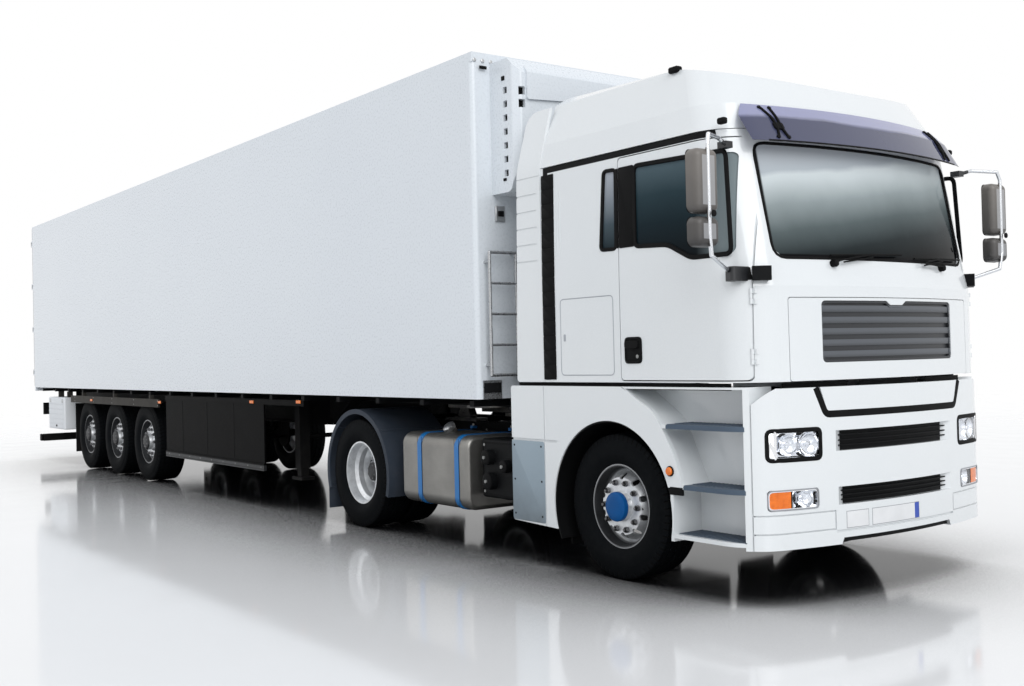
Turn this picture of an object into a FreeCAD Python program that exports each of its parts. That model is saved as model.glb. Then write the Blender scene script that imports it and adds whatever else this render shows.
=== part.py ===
"""Articulated refrigerated lorry: a two-axle tractor with a tilting cab, and a three-axle insulated
box trailer hinged at its kingpin. Millimetres, +X forward, +Y to the left, +Z up."""

import FreeCAD
import Part
import math
import os

from FreeCAD import Vector

os.makedirs("parts", exist_ok=True)

# Stations along the vehicle, measured from the bumper's front face, negative to the rear.
FRONT_AXLE_X = -1475.0
WHEELBASE = 3600.0
DRIVE_AXLE_X = FRONT_AXLE_X - WHEELBASE
KINGPIN_X = -4550.0
TRAILER_FRONT_X = -2960.0
TRAILER_LENGTH = 13590.0
BOGIE_X = -12350.0
TRAILER_AXLE_PITCH = 1310.0

# Tyres and rims.
TYRE_R = 507.0
TYRE_W = 315.0
TRAILER_TYRE_R = 531.0
TRAILER_TYRE_W = 385.0
BEAD_R = 286.0
RIM_FLANGE_R = 299.0
RIM_SHEET = 12.0
RIM_W = 250.0
TRAILER_RIM_W = 318.0
FRONT_TRACK = 2040.0
DRIVE_OUTER_Y = 1080.0
TWIN_PITCH = 342.0
TRAILER_TRACK = 2070.0
KINGPIN_Y = 860.0
RUNNING = 0.06
WHEEL_NUTS = 10
NUT_CIRCLE_R = 167.5

# Cab.
CAB_BASE_Z = 1370.0
CAB_TOP_Z = 2955.0
CAB_HALF_W = 1220.0
CAB_TOP_HALF_W = 1208.0
CAB_REAR_X = -2215.0
CAB_NOSE_X = -10.0
CAB_WALL = 55.0
BOW_R = 4050.0
CORNER_R = 300.0
ROOF_GAP = 5.0
ROOF_WALL = 45.0
DOOR_GAP = 8.0
DOOR_REAR_X = -1345.0
DOOR_SILL_Z = 1386.0
DOOR_TOP_Z = 2900.0
DOOR_FRONT_X = -228.0
DOOR_RAKE = 57.0
DOOR_RAKE_Z = 1970.0
DOOR_HINGE_X = -227.0
DOOR_HINGE_Y = 1148.0
DOOR_HINGE_Z = (1480.0, 1850.0)
DOOR_HINGE_H = 96.0
DOOR_KNUCKLE_R = 10.0
DOOR_PIN_R = 5.0
GLASS_T = 8.0
GLASS_INSET = 10.0
SEAT_GAP = 0.3
PANEL_SKIN = 30.0

# Chassis.
RAIL_Y = 430.0
RAIL_H = 270.0
RAIL_TOP_Z = 970.0
RAIL_T = 9.0
RAIL_FLANGE = 85.0
RAIL_FRONT_X = -430.0
RAIL_BRACKET_T = 40.0
RAIL_REAR_X = -5950.0
BODY_HALF_W = 1245.0
BUMPER_LOW_Z = 345.0
BUMPER_TOP_Z = 1330.0
BUMPER_WALL = 55.0
BUMPER_REAR_X = -228.0
FENDER_TOP_Z = 1342.0
FENDER_REAR_X = -2600.0
ARCH_R = 615.0
ARCH_Z = 490.0
TAIL_PLATE_T = 12.0
TOW_Z = 835.0
TOW_Y_PITCH = 140.0
TOW_Z_PITCH = 80.0
TOW_HOLE_R = 8.5
TILT_X = -120.0
TILT_Z = 1020.0
TILT_PIN_R = 22.0
TILT_ARM_Y = 341.0
FIFTH_WHEEL_Z = 1135.0

# Trailer.
BOX_HALF_W = 1300.0
BOX_BASE_Z = 1230.0
BOX_TOP_Z = 3995.0
SIDE_WALL_T = 62.0
FRONT_WALL_T = 80.0
ROOF_T = 80.0
FLOOR_T = 130.0
REAR_DOOR_T = 80.0
BEAM_Y = 560.0
BEAM_FLANGE = 140.0
BEAM_LOW_Z = 850.0
BEAM_WEB_T = 12.0
BEAM_FLANGE_T = 14.0
NECK_REAR_X = -6300.0
NECK_LOW_Z = FIFTH_WHEEL_Z + 8.0
LEG_X = -6810.0

TRAILER_REAR_X = TRAILER_FRONT_X - TRAILER_LENGTH
REAR_HARDWARE = 26.0
LOAD_REAR_X = TRAILER_REAR_X + REAR_DOOR_T
PORTAL_T = 60.0
PORTAL_FRONT_X = LOAD_REAR_X + PORTAL_T
DOOR_FACE_X = TRAILER_REAR_X + 6.0
OVERALL = -TRAILER_REAR_X + REAR_HARDWARE
SHIFT = Vector(OVERALL / 2, 0, 0)


def block(x0, x1, y0, y1, z0, z1):
    low = Vector(min(x0, x1), min(y0, y1), min(z0, z1))
    return Part.makeBox(abs(x1 - x0), abs(y1 - y0), abs(z1 - z0), low)


def rod(start, end, radius):
    """A round bar from one point to another."""
    start, end = Vector(*start), Vector(*end)
    return Part.makeCylinder(radius, (end - start).Length, start, end - start)


def bent_bar(points, radius):
    """Round bars from point to point, with a ball at each inner corner."""
    pieces = [rod(a, b, radius) for a, b in zip(points, points[1:])]
    pieces += [Part.makeSphere(radius, Vector(*p)) for p in points[1:-1]]
    return fuse(pieces)


def rounded(shape, radius):
    return shape.makeFillet(radius, shape.Edges)


def fuse(shapes):
    shapes = list(shapes)
    return shapes[0].multiFuse(shapes[1:]).removeSplitter() if len(shapes) > 1 else shapes[0]


def to_xz(u, v):
    return Vector(u, 0, v)


def to_yz(u, v):
    return Vector(0, u, v)


def to_xy(u, v):
    return Vector(u, v, 0)


def outline(points, place, radius=0.0):
    """A closed wire through 2D points, each corner rounded: radius is one value or one for each."""
    count = len(points)
    radii = radius if isinstance(radius, (list, tuple)) else [radius] * count
    edges, first, last = [], None, None
    for i, corner in enumerate(points):
        before, after = Vector(*points[i - 1], 0), Vector(*points[(i + 1) % count], 0)
        at = Vector(*corner, 0)
        to_before, to_after = (before - at).normalize(), (after - at).normalize()
        if radii[i] <= 0:
            start = end = at
        else:
            half = to_before.getAngle(to_after) / 2
            reach = radii[i] / math.tan(half)
            start, end = at + to_before * reach, at + to_after * reach
            centre = at + (to_before + to_after).normalize() * (radii[i] / math.sin(half))
            middle = centre + (at - centre).normalize() * radii[i]
        if last is not None and (start - last).Length > 1e-6:
            edges.append(Part.makeLine(place(last.x, last.y), place(start.x, start.y)))
        if first is None:
            first = start
        if radii[i] > 0:
            arc = [place(p.x, p.y) for p in (start, middle, end)]
            edges.append(Part.Arc(*arc).toShape())
        last = end
    if (last - first).Length > 1e-6:
        edges.append(Part.makeLine(place(last.x, last.y), place(first.x, first.y)))
    return Part.Wire(edges)


def prism_xz(points, y0, y1, radius=0.0):
    """An outline in the side view, carried across the vehicle from y0 to y1."""
    wire = outline(points, to_xz, radius)
    wire.translate(Vector(0, min(y0, y1), 0))
    return Part.Face(wire).extrude(Vector(0, abs(y1 - y0), 0))


def prism_yz(points, x0, x1, radius=0.0):
    """An outline in the front view, carried along the vehicle from x0 to x1."""
    wire = outline(points, to_yz, radius)
    wire.translate(Vector(min(x0, x1), 0, 0))
    return Part.Face(wire).extrude(Vector(abs(x1 - x0), 0, 0))


def prism_xy(points, z0, z1, radius=0.0):
    """An outline in plan, carried up from z0 to z1."""
    wire = outline(points, to_xy, radius)
    wire.translate(Vector(0, 0, min(z0, z1)))
    return Part.Face(wire).extrude(Vector(0, 0, abs(z1 - z0)))


def rect(u0, u1, v0, v1):
    return [(u0, v0), (u1, v0), (u1, v1), (u0, v1)]


def mirrored(shape):
    """The same piece on the vehicle's other side."""
    return shape.mirror(Vector(0, 0, 0), Vector(0, 1, 0))


def both_sides(shape):
    return [shape, mirrored(shape)]


def save(name, *shapes):
    """Writes one node's solids, moved so that the origin is under the middle of the vehicle."""
    solids = [s for shape in shapes for s in shape.Solids]
    for solid in solids:
        if not solid.isValid() or solid.Volume <= 0:
            print("check", name, solid.isValid(), solid.Volume)
    node = solids[0] if len(solids) == 1 else Part.makeCompound(solids)
    node = node.copy()
    node.translate(SHIFT)
    node.exportStep("parts/%s.step" % name)
    print(name, len(solids), "solids", round(sum(s.Volume for s in solids) / 1e6, 2), "litres")


def plan_wire(nose_x, half_w, rear_x, z, bow_r=BOW_R, corner_r=CORNER_R):
    """The plan of the cab and bumper: a shallow bow across the front, round corners, straight sides."""
    bow_c = Vector(nose_x - bow_r, 0, z)
    corner_y = half_w - corner_r
    corner_x = bow_c.x + math.sqrt((bow_r - corner_r) ** 2 - corner_y ** 2)
    edges = []
    left_c, right_c = Vector(corner_x, corner_y, z), Vector(corner_x, -corner_y, z)
    out = (left_c - bow_c).normalize()
    left_t = bow_c + out * bow_r
    right_t = Vector(left_t.x, -left_t.y, z)
    nose = Vector(nose_x, 0, z)
    half = (out + Vector(0, 1, 0)).normalize() * corner_r
    left_side, right_side = Vector(corner_x, half_w, z), Vector(corner_x, -half_w, z)
    edges.append(Part.Arc(right_t, nose, left_t).toShape())
    edges.append(Part.Arc(left_t, left_c + half, left_side).toShape())
    left_rear, right_rear = Vector(rear_x, half_w, z), Vector(rear_x, -half_w, z)
    edges.append(Part.makeLine(left_side, left_rear))
    edges.append(Part.makeLine(left_rear, right_rear))
    edges.append(Part.makeLine(right_rear, right_side))
    edges.append(Part.Arc(right_side, right_c + Vector(half.x, -half.y, 0), right_t).toShape())
    return Part.Wire(edges)


def bow_x(nose_x, y, bow_r=BOW_R):
    """How far back the bowed front lies at a distance y from the middle."""
    return nose_x - bow_r + math.sqrt(bow_r ** 2 - y ** 2)


def body_loft(sections, inset=0.0):
    """A solid through plan sections (nose_x, half_w, rear_x, z), each drawn in by the inset."""
    wires = [
        plan_wire(nose - inset, half - inset, rear + inset, z, BOW_R - inset, CORNER_R - inset)
        for nose, half, rear, z in sections
    ]
    return Part.makeLoft(wires, True, True)


# The cab's height is four plan sections: sill, waist, foot of the windscreen, and top.
WAIST_Z = 1960.0
SCREEN_FOOT_Z = 2110.0
SCREEN_LEAN = 165.0
CAB_SECTIONS = [
    (CAB_NOSE_X, CAB_HALF_W, CAB_REAR_X, CAB_BASE_Z),
    (CAB_NOSE_X - 5, CAB_HALF_W, CAB_REAR_X, WAIST_Z),
    (CAB_NOSE_X - 40, CAB_HALF_W, CAB_REAR_X, SCREEN_FOOT_Z),
    (CAB_NOSE_X - 40 - SCREEN_LEAN, CAB_TOP_HALF_W, CAB_REAR_X, CAB_TOP_Z),
]
SCREEN = [(-985, 2135), (985, 2135), (1000, 2868), (-1000, 2868)]
SCREEN_RADII = [110, 110, 50, 50]
PANEL_HALF_W = 930.0
PANEL_LOW_Z = 1372.0
PANEL_HIGH_Z = 1885.0
GRILLE_HALF_W = 682.0
GRILLE_LOW_Z = 1481.0
GRILLE_HIGH_Z = 1868.0
NOTCH_HALF_W = 62.0
NOTCH_DEPTH = 26.0
GRILLE_FRAME_W = 16.0
SLAT_COUNT = 5
SLAT_H = 40.0
STRIP_LOW_Z = 2912.0
STRIP_FRONT_X = -320.0
POST_STRIP_FRONT_X = -2128.0
POST_STRIP_REAR_X = -2190.0


def cab_skin(depth_out, depth_in):
    """The layer of the cab's wall between two depths."""
    return body_loft(CAB_SECTIONS, depth_out).cut(body_loft(CAB_SECTIONS, depth_in))


def door_outline(gap):
    """The door in the side view, larger by the gap: upright at its hinges, raked above them."""
    low, high = DOOR_SILL_Z - gap, DOOR_TOP_Z + gap
    front, rear = DOOR_FRONT_X + gap, DOOR_REAR_X - gap
    return [(rear, low), (front, low), (front, DOOR_RAKE_Z), (front - DOOR_RAKE, high), (rear, high)]


def door_prism(gap):
    return prism_xz(door_outline(gap), -CAB_HALF_W - 100, -CAB_HALF_W + 170, [30, 30, 0, 30, 30])


def hinge_rod(radius, low, high):
    """A round bar on the right door's hinge line."""
    return rod((DOOR_HINGE_X, -DOOR_HINGE_Y, low), (DOOR_HINGE_X, -DOOR_HINGE_Y, high), radius)


def door_hinges():
    """The right door's hinges: the cab's knuckles with their pins, the door's barrels, and the
    pockets that clear them in the door and in the cab."""
    knuckles, barrels, door_pockets, cab_pockets = [], [], [], []
    third, clear = DOOR_HINGE_H / 3, 1.5
    for low in DOOR_HINGE_Z:
        high = low + DOOR_HINGE_H
        for start, end in ((low, low + third - 1), (high - third + 1, high)):
            leaf = block(DOOR_HINGE_X, DOOR_HINGE_X + 26, -DOOR_HINGE_Y + 8, -DOOR_HINGE_Y + 40, start, end)
            knuckles += [hinge_rod(DOOR_KNUCKLE_R, start, end), leaf]
            door_pockets.append(hinge_rod(DOOR_KNUCKLE_R + clear, start - 1, end + 1))
        knuckles.append(hinge_rod(DOOR_PIN_R, low, high))
        low_third, high_third = low + third, high - third
        leaf = block(DOOR_HINGE_X - 26, DOOR_HINGE_X, -DOOR_HINGE_Y, -DOOR_HINGE_Y + 30,
                     low_third, high_third)
        barrel = hinge_rod(DOOR_KNUCKLE_R, low_third, high_third).fuse(leaf)
        barrels.append(barrel.cut(hinge_rod(DOOR_PIN_R + RUNNING, low, high)))
        door_pockets.append(hinge_rod(DOOR_PIN_R + RUNNING, low, high))
        cab_pockets.append(hinge_rod(DOOR_KNUCKLE_R + clear, low_third - 1, high_third + 1))
    return knuckles, barrels, door_pockets, cab_pockets


def door_window(inset):
    """The drop-waist window of the door."""
    points = [
        (-1190 + inset, 2285 + inset), (-870, 2268 + inset), (-660, 2165 + inset),
        (-315 - inset, 2165 + inset), (-352 - inset, 2806 - inset), (-1190 + inset, 2830 - inset),
    ]
    return prism_xz(points, -CAB_HALF_W - 100, -CAB_HALF_W + 170, [20, 90, 90, 45, 35, 20])


def rear_window(inset):
    """The small fixed window behind the door."""
    points = [
        (-1538 + inset, 2290 + inset), (-1376 - inset, 2285 + inset),
        (-1376 - inset, 2832 - inset), (-1500 + inset, 2836 - inset),
    ]
    return prism_xz(points, -CAB_HALF_W - 100, -CAB_HALF_W + 170, [45, 20, 20, 45])


def screen_prism(inset):
    points = [
        (u - math.copysign(inset, u), v + (inset if v < 2500 else -inset)) for u, v in SCREEN
    ]
    return prism_yz(points, -700, 200, SCREEN_RADII)


def panel_prism(gap):
    half, low, high = PANEL_HALF_W + gap, PANEL_LOW_Z - gap, PANEL_HIGH_Z + gap
    return prism_yz(rect(-half, half, low, high), -500, 200, 18)


def grille_prism(inset):
    half, low, high = GRILLE_HALF_W - inset, GRILLE_LOW_Z + inset, GRILLE_HIGH_Z - inset
    dip = high - NOTCH_DEPTH
    points = [
        (-half, low), (half, low), (half, high),
        (NOTCH_HALF_W + 40, high), (NOTCH_HALF_W, dip), (-NOTCH_HALF_W, dip),
        (-NOTCH_HALF_W - 40, high), (-half, high),
    ]
    return prism_yz(points, -500, 200, [30, 30, 30, 15, 15, 15, 15, 30])


def strip_prisms():
    """The dark channel under the roof's edge, and the one down the cab's rear corner."""
    deep = 400
    channel = block(POST_STRIP_REAR_X, STRIP_FRONT_X, -CAB_HALF_W - deep, -CAB_HALF_W + 60,
                    STRIP_LOW_Z, CAB_TOP_Z + 1)
    post = block(POST_STRIP_REAR_X, POST_STRIP_FRONT_X, -CAB_HALF_W - deep, -CAB_HALF_W + 60,
                 DOOR_SILL_Z, CAB_TOP_Z + 1)
    return channel.fuse(post).removeSplitter()


def make_cab():
    outer = body_loft(CAB_SECTIONS)
    inner = body_loft(CAB_SECTIONS, CAB_WALL)
    inner = inner.common(block(-3000, 200, -1400, 1400, CAB_BASE_Z + CAB_WALL, CAB_TOP_Z + 10))
    shell = outer.cut(inner)
    walls = outer.cut(body_loft(CAB_SECTIONS, CAB_WALL))

    strips = both_sides(strip_prisms())
    strip_skin = cab_skin(6, 22)
    trim = [strip_skin.common(s) for s in strips]
    knuckles, barrels, door_pockets, cab_pockets = door_hinges()
    door = walls.common(door_prism(0)).cut(door_pockets)
    door_cuts = both_sides(door_prism(DOOR_GAP))
    panel = cab_skin(0, PANEL_SKIN).common(panel_prism(0)).cut(grille_prism(0))
    panel_seat = cab_skin(-50, PANEL_SKIN + SEAT_GAP).common(panel_prism(5))
    channel_seat = [cab_skin(-20, 22 + SEAT_GAP).common(s) for s in strips]
    tools = door_cuts + channel_seat + [panel_seat, screen_prism(0)]
    tools += both_sides(rear_window(0))
    for pocket in cab_pockets:
        tools += both_sides(pocket)
    shell = shell.cut(tools)

    glass_skin = cab_skin(GLASS_INSET, GLASS_INSET + GLASS_T)
    glass = [glass_skin.common(screen_prism(SEAT_GAP))]
    glass += [glass_skin.common(g) for g in both_sides(rear_window(SEAT_GAP))]
    door_glass = glass_skin.common(door_window(SEAT_GAP))
    door = fuse([door.cut(door_window(0))] + barrels)
    mounts = both_sides(tilt_arm())
    for knuckle in knuckles:
        mounts += both_sides(knuckle)
    save("cab_shell", fuse([shell] + mounts))
    save("front_panel", panel)
    save("cab_glass", *glass)
    save("door_right", door)
    save("door_left", mirrored(door))
    save("door_glass_right", door_glass)
    save("door_glass_left", mirrored(door_glass))
    save("front_grille", make_grille())
    save("cab_trim", *(trim + make_corner_mounts() + make_wipers() + make_visor_brackets()))


def tilt_arm():
    """The lever under the floor that carries the cab on its front pivot."""
    y0, y1 = -RAIL_Y + RAIL_BRACKET_T + SEAT_GAP, -TILT_ARM_Y
    lever = prism_xz([
        (TILT_X - 10, TILT_Z - 35), (TILT_X + 20, TILT_Z + 30), (TILT_X - 265, TILT_Z + 195),
        (TILT_X - 265, CAB_BASE_Z + 5), (TILT_X - 355, CAB_BASE_Z + 5), (TILT_X - 355, TILT_Z + 110),
    ], y0, y1, [0, 0, 30, 0, 0, 60])
    eye = rod((TILT_X, y0, TILT_Z), (TILT_X, y1, TILT_Z), 36)
    pin = rod((TILT_X, y1, TILT_Z), (TILT_X, -RAIL_Y - 8, TILT_Z), TILT_PIN_R)
    return fuse([lever, eye, pin])


def make_grille():
    """A frame that fills the panel's opening, with broad horizontal slats before a dark backing."""
    skin = cab_skin(6, PANEL_SKIN)
    frame = skin.common(grille_prism(SEAT_GAP)).cut(grille_prism(GRILLE_FRAME_W))
    pitch = (GRILLE_HIGH_Z - GRILLE_LOW_Z - 2 * GRILLE_FRAME_W) / SLAT_COUNT
    half = GRILLE_HALF_W - 10
    slats = []
    for i in range(SLAT_COUNT):
        low = GRILLE_LOW_Z + GRILLE_FRAME_W + (i + 0.5) * pitch - SLAT_H / 2
        slat = cab_skin(10, PANEL_SKIN - 6).common(block(-500, 200, -half, half, low, low + SLAT_H))
        slats.append(slat.common(grille_prism(SEAT_GAP + 1)))
    backing = cab_skin(PANEL_SKIN - 7, PANEL_SKIN).common(grille_prism(SEAT_GAP + 2))
    return fuse([frame, backing] + slats)


ROOF_SECTIONS = [
    (CAB_SECTIONS[3][0] - 2, CAB_TOP_HALF_W, CAB_REAR_X, CAB_TOP_Z + ROOF_GAP),
    (CAB_SECTIONS[3][0] - 75, CAB_TOP_HALF_W - 38, CAB_REAR_X, 3135.0),
    (CAB_SECTIONS[3][0] - 330, CAB_TOP_HALF_W - 215, CAB_REAR_X, 3560.0),
]


def roof_body(inset):
    shape = body_loft(ROOF_SECTIONS, inset)
    top = [(-3000, 2900), (200, 2900), (200, 3010 - inset), (-420, 3325 - inset),
           (-900, 3442 - inset), (-3000, 3548 - inset)]
    shape = shape.common(prism_xz(top, -1400, 1400, [0, 0, 0, 500, 900, 0]))
    crown = [(-1400, 2800), (1400, 2800), (1400, 3215 - inset), (860, 3560 - inset),
             (0, 3590 - inset), (-860, 3560 - inset), (-1400, 3215 - inset)]
    return shape.common(prism_yz(crown, -3000, 200, [0, 0, 0, 160, 0, 160, 0]))


def make_roof():
    """The high roof: a moulded cap that leans in at the sides and rises to the rear."""
    outer = roof_body(0)
    inner = roof_body(ROOF_WALL).common(
        block(CAB_REAR_X + ROOF_WALL, 0, -1300, 1300, CAB_TOP_Z - 10, 3600))
    save("cab_roof", outer.cut(inner))


DEFLECTOR_REAR_X = -2545.0
DEFLECTOR_T = 25.0
DEFLECTOR_TOP_Z = 3425.0
LOUVRE_COUNT = 5


def make_deflectors():
    """The side deflectors that close the gap behind the cab, with louvre ridges at window height."""
    half, t = CAB_HALF_W, DEFLECTOR_T
    front = CAB_REAR_X - SEAT_GAP
    lean = 118.0
    section = [
        (-half, CAB_BASE_Z), (-half, 2960), (-half + lean, DEFLECTOR_TOP_Z),
        (-half + lean + t, DEFLECTOR_TOP_Z), (-half + t, 2960 - 8), (-half + t, CAB_BASE_Z),
    ]
    side = prism_yz(section, DEFLECTOR_REAR_X, front, [0, 500, 0, 0, 475, 0])
    outline_xz = [
        (DEFLECTOR_REAR_X, CAB_BASE_Z), (front, CAB_BASE_Z), (front, DEFLECTOR_TOP_Z),
        (DEFLECTOR_REAR_X + 60, DEFLECTOR_TOP_Z),
    ]
    side = side.common(prism_xz(outline_xz, -half - 10, -half + 300, [25, 0, 0, 120]))
    tools = []
    for i in range(LOUVRE_COUNT):
        z = 2270 + i * 125
        tools.append(block(DEFLECTOR_REAR_X + 30, front - 45, -half - 1, -half + 7, z, z + 12))
    tools.append(block(DEFLECTOR_REAR_X - 1, front + 1, -half - 1, -half + 5, 2903, 2909))
    side = side.cut(tools)
    arms = []
    for z in (1600, 2250, 2850):
        arms.append(block(front, front - 190, -half + t - 2, -half + t + 28, z, z + 40))
    side = fuse([side] + arms)
    save("cab_deflectors", *both_sides(side))


VISOR_T = 6.0
# The visor's plan sections, foot first: nose_x, half_w, rear_x, z.
VISOR_SECTIONS = [
    (-75.0, 1250.0, -700.0, 2862.0),
    (-176.0, 1235.0, -700.0, 3030.0),
    (-272.0, 1200.0, -700.0, 3125.0),
]


def make_visor():
    """A tinted sun visor: a curved blade that hangs forward of the windscreen's head."""
    blade = body_loft(VISOR_SECTIONS).cut(body_loft(VISOR_SECTIONS, VISOR_T))
    foot_z, head_z = VISOR_SECTIONS[0][3] - 10, VISOR_SECTIONS[-1][3] + 10
    keep = prism_xz([(300, foot_z), (300, head_z), (-408, head_z), (-226, foot_z)], -1400, 1400)
    return blade.common(keep)


def make_visor_brackets():
    """Bent arms that hold the visor off the roof's front."""
    inside = body_loft(VISOR_SECTIONS, VISOR_T + SEAT_GAP)
    brackets = []
    for y in (-860, 860):
        arm = block(-345, -110, y - 12, y + 12, 2990, 3014)
        foot = block(-345, -300, y - 40, y + 40, 2975, 3030)
        bracket = arm.fuse(foot).common(inside)
        bracket = bracket.cut(body_loft(ROOF_SECTIONS, -SEAT_GAP))
        brackets.append(bracket.cut(body_loft(CAB_SECTIONS, -SEAT_GAP)))
    return brackets


CORNER_X = CAB_NOSE_X - BOW_R + math.sqrt((BOW_R - CORNER_R) ** 2 - (CAB_HALF_W - CORNER_R) ** 2)
COVER_T = 40.0
COVER_ANGLES = (27.0, 47.0)
MIRROR_FOOT_Z = (1992.0, 2080.0)


def make_corner_mounts():
    """The dark cover on the cab's corner ahead of the door, level with the mirror's foot."""
    reach = CORNER_R + COVER_T
    low, high = MIRROR_FOOT_Z
    centre = (CORNER_X, -(CAB_HALF_W - CORNER_R))
    fan = [centre]
    for angle in (COVER_ANGLES[1], sum(COVER_ANGLES) / 2, COVER_ANGLES[0]):
        a = math.radians(angle)
        fan.append((centre[0] + 2 * reach * math.cos(a), centre[1] - 2 * reach * math.sin(a)))
    drum = Part.makeCylinder(reach, high - low, Vector(*centre, low))
    cover = drum.common(prism_xy(fan, low, high)).cut(body_loft(CAB_SECTIONS, -SEAT_GAP))
    return both_sides(cover)


WIPER_Y = (-548.0, 612.0)


def make_wipers():
    """Two wiper spindles at the windscreen's foot."""
    nose, z = CAB_NOSE_X - 40, SCREEN_FOOT_Z - 8
    outer = body_loft(CAB_SECTIONS, -SEAT_GAP)
    spindles = []
    for y in WIPER_Y:
        x = bow_x(nose, y)
        spindles.append(rod((x - 30, y, z), (x + 34, y, z), 22).cut(outer))
    return spindles


MIRROR_X0, MIRROR_X1 = -275.0, -180.0
MIRROR_Y0, MIRROR_Y1 = -1630.0, -1440.0
MIRROR_TUBE_X, MIRROR_TUBE_Y = -178.0, -1535.0


def make_mirror():
    """The right mirror: a tall main head over a wide-angle head, on a bent tube with two feet."""
    heads = []
    for low, high in ((2385, 2765), (2185, 2362)):
        head = block(MIRROR_X0, MIRROR_X1, MIRROR_Y0, MIRROR_Y1, low, high)
        head = head.makeFillet(45, [e for e in head.Edges if e.BoundBox.XMax > MIRROR_X1 - 1])
        glass = block(MIRROR_X0 - 1, MIRROR_X0 + 9, MIRROR_Y0 + 14, MIRROR_Y1 - 14, low + 14, high - 14)
        heads.append(head.cut(glass))
    x, y = MIRROR_TUBE_X - 6, MIRROR_TUBE_Y
    tube = bent_bar([(-318, -1240, 2832), (-290, -1330, 2858), (x - 10, y + 20, 2850), (x, y, 2790),
                     (x, y, 2250), (x - 8, y + 20, 2130), (-292, -1262, 2052)], 13)
    low, high = MIRROR_FOOT_Z
    foot = prism_xy([(-345, -1150), (-332, -1262), (-244, -1285), (-246, -1140)], low, high, [0, 25, 25, 0])
    top_foot = block(-372, -300, -1255, -1195, 2812, 2852)
    shape = fuse(heads + [tube, foot, top_foot])
    return shape.cut(body_loft(CAB_SECTIONS, -SEAT_GAP))


DASH_HALF_W = 1045.0


def make_interior():
    """Two seats, the bunk, and the dashboard with its steering wheel."""
    solids = []
    floor = CAB_BASE_Z + CAB_WALL
    for y in (-620, 620):
        base = block(-1300, -850, y - 180, y + 180, floor + SEAT_GAP, floor + 330)
        cushion = rounded(block(-1340, -800, y - 250, y + 250, floor + 330, floor + 460), 30)
        back = prism_xz([(-1340, floor + 400), (-1220, floor + 400), (-1330, floor + 1080),
                         (-1430, floor + 1080)], y - 235, y + 235, 25)
        head = prism_xz([(-1445, floor + 1100), (-1345, floor + 1100), (-1370, floor + 1280),
                         (-1450, floor + 1280)], y - 130, y + 130, 25)
        post = block(-1410, -1385, y - 60, y + 60, floor + 1050, floor + 1150)
        solids.append(fuse([base, cushion, back, head, post]))
    bunk = block(CAB_REAR_X + CAB_WALL + 1, -1560, -1090, 1090, floor + SEAT_GAP, floor + 620)
    solids.append(bunk)
    skin = body_loft(CAB_SECTIONS, CAB_WALL + SEAT_GAP)
    dash = prism_xz([(-560, floor + 350), (0, floor + 250), (0, floor + 760), (-330, floor + 790),
                     (-520, floor + 700)], -DASH_HALF_W, DASH_HALF_W, [40, 0, 0, 60, 60])
    leg = block(-420, 0, -300, 300, floor + SEAT_GAP, floor + 500)
    dash = fuse([dash, leg]).common(skin)
    column = rod((-480, 620, floor + 640), (-690, 620, floor + 800), 38)
    centre, lean = Vector(-700, 620, floor + 808), -38.3
    axis = Vector(math.sin(math.radians(lean)), 0, math.cos(math.radians(lean)))
    rim = Part.makeTorus(215, 15, centre, axis)
    spokes = []
    for turn in (0, 90, 180, 270):
        spoke = block(-700, -700 + 214, 620 - 14, 620 + 14, floor + 802, floor + 814)
        spoke.rotate(centre, Vector(0, 0, 1), turn)
        spoke.rotate(centre, Vector(0, 1, 0), lean)
        spokes.append(spoke)
    wheel = fuse([rim, column] + spokes)
    solids.append(fuse([dash, wheel]))
    save("cab_interior", *solids)


def bumper_skin(depth_out, depth_in, low=BUMPER_LOW_Z, high=BUMPER_TOP_Z):
    sections = [(0, BODY_HALF_W, -1500, low), (0, BODY_HALF_W, -1500, high)]
    return body_loft(sections, depth_out).cut(body_loft(sections, depth_in))


HEADLAMP = rect(728, 1062, 888, 1076)
FOG_LAMP = rect(752, 1112, 584, 712)
SLOT_TOP = (928.0, 1056.0, 612.0)
SLOT_LOW = (592.0, 704.0, 596.0)
SLOT_FACE_X = -45.0
SLOT_FLARE = 2.4
FLAP_TOP_HALF = 748.0
FLAP_LOW_HALF = 668.0
FLAP_LOW_Z = 1172.0
FLAP_LINE = 24.0
LIP_TOP_Z = 385.0
CHIN_HALF_W = 620.0


def lamp_prism(corners, inset, side):
    (u0, v0), (u1, _), (_, v1), _ = corners
    u0, u1, v0, v1 = u0 + inset, u1 - inset, v0 + inset, v1 - inset
    points = rect(u0, u1, v0, v1) if side > 0 else rect(-u1, -u0, v0, v1)
    return prism_yz(points, -600, 200, 22)


def slot_tool(slot, inset):
    """A wide slot whose ends taper inwards as it goes back."""
    low, high, half = slot
    faces = []
    for x in (40.0, -170.0):
        reach = half + SLOT_FLARE * (x - SLOT_FACE_X) - inset
        corners = [(-reach, low + inset), (reach, low + inset), (reach, high - inset), (-reach, high - inset)]
        faces.append(Part.makePolygon([Vector(x, y, z) for y, z in corners + corners[:1]]))
    return Part.makeLoft(faces, True, True)


def panel_line(corners, width):
    """The ring between an outline and the same one drawn in by the line's width."""
    (u0, v0), (u1, _), (_, v1), _ = corners
    inner = rect(u0 + width, u1 - width, v0 + width, v1 - width)
    return prism_yz(corners, -400, 200).cut(prism_yz(inner, -400, 200))


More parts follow.
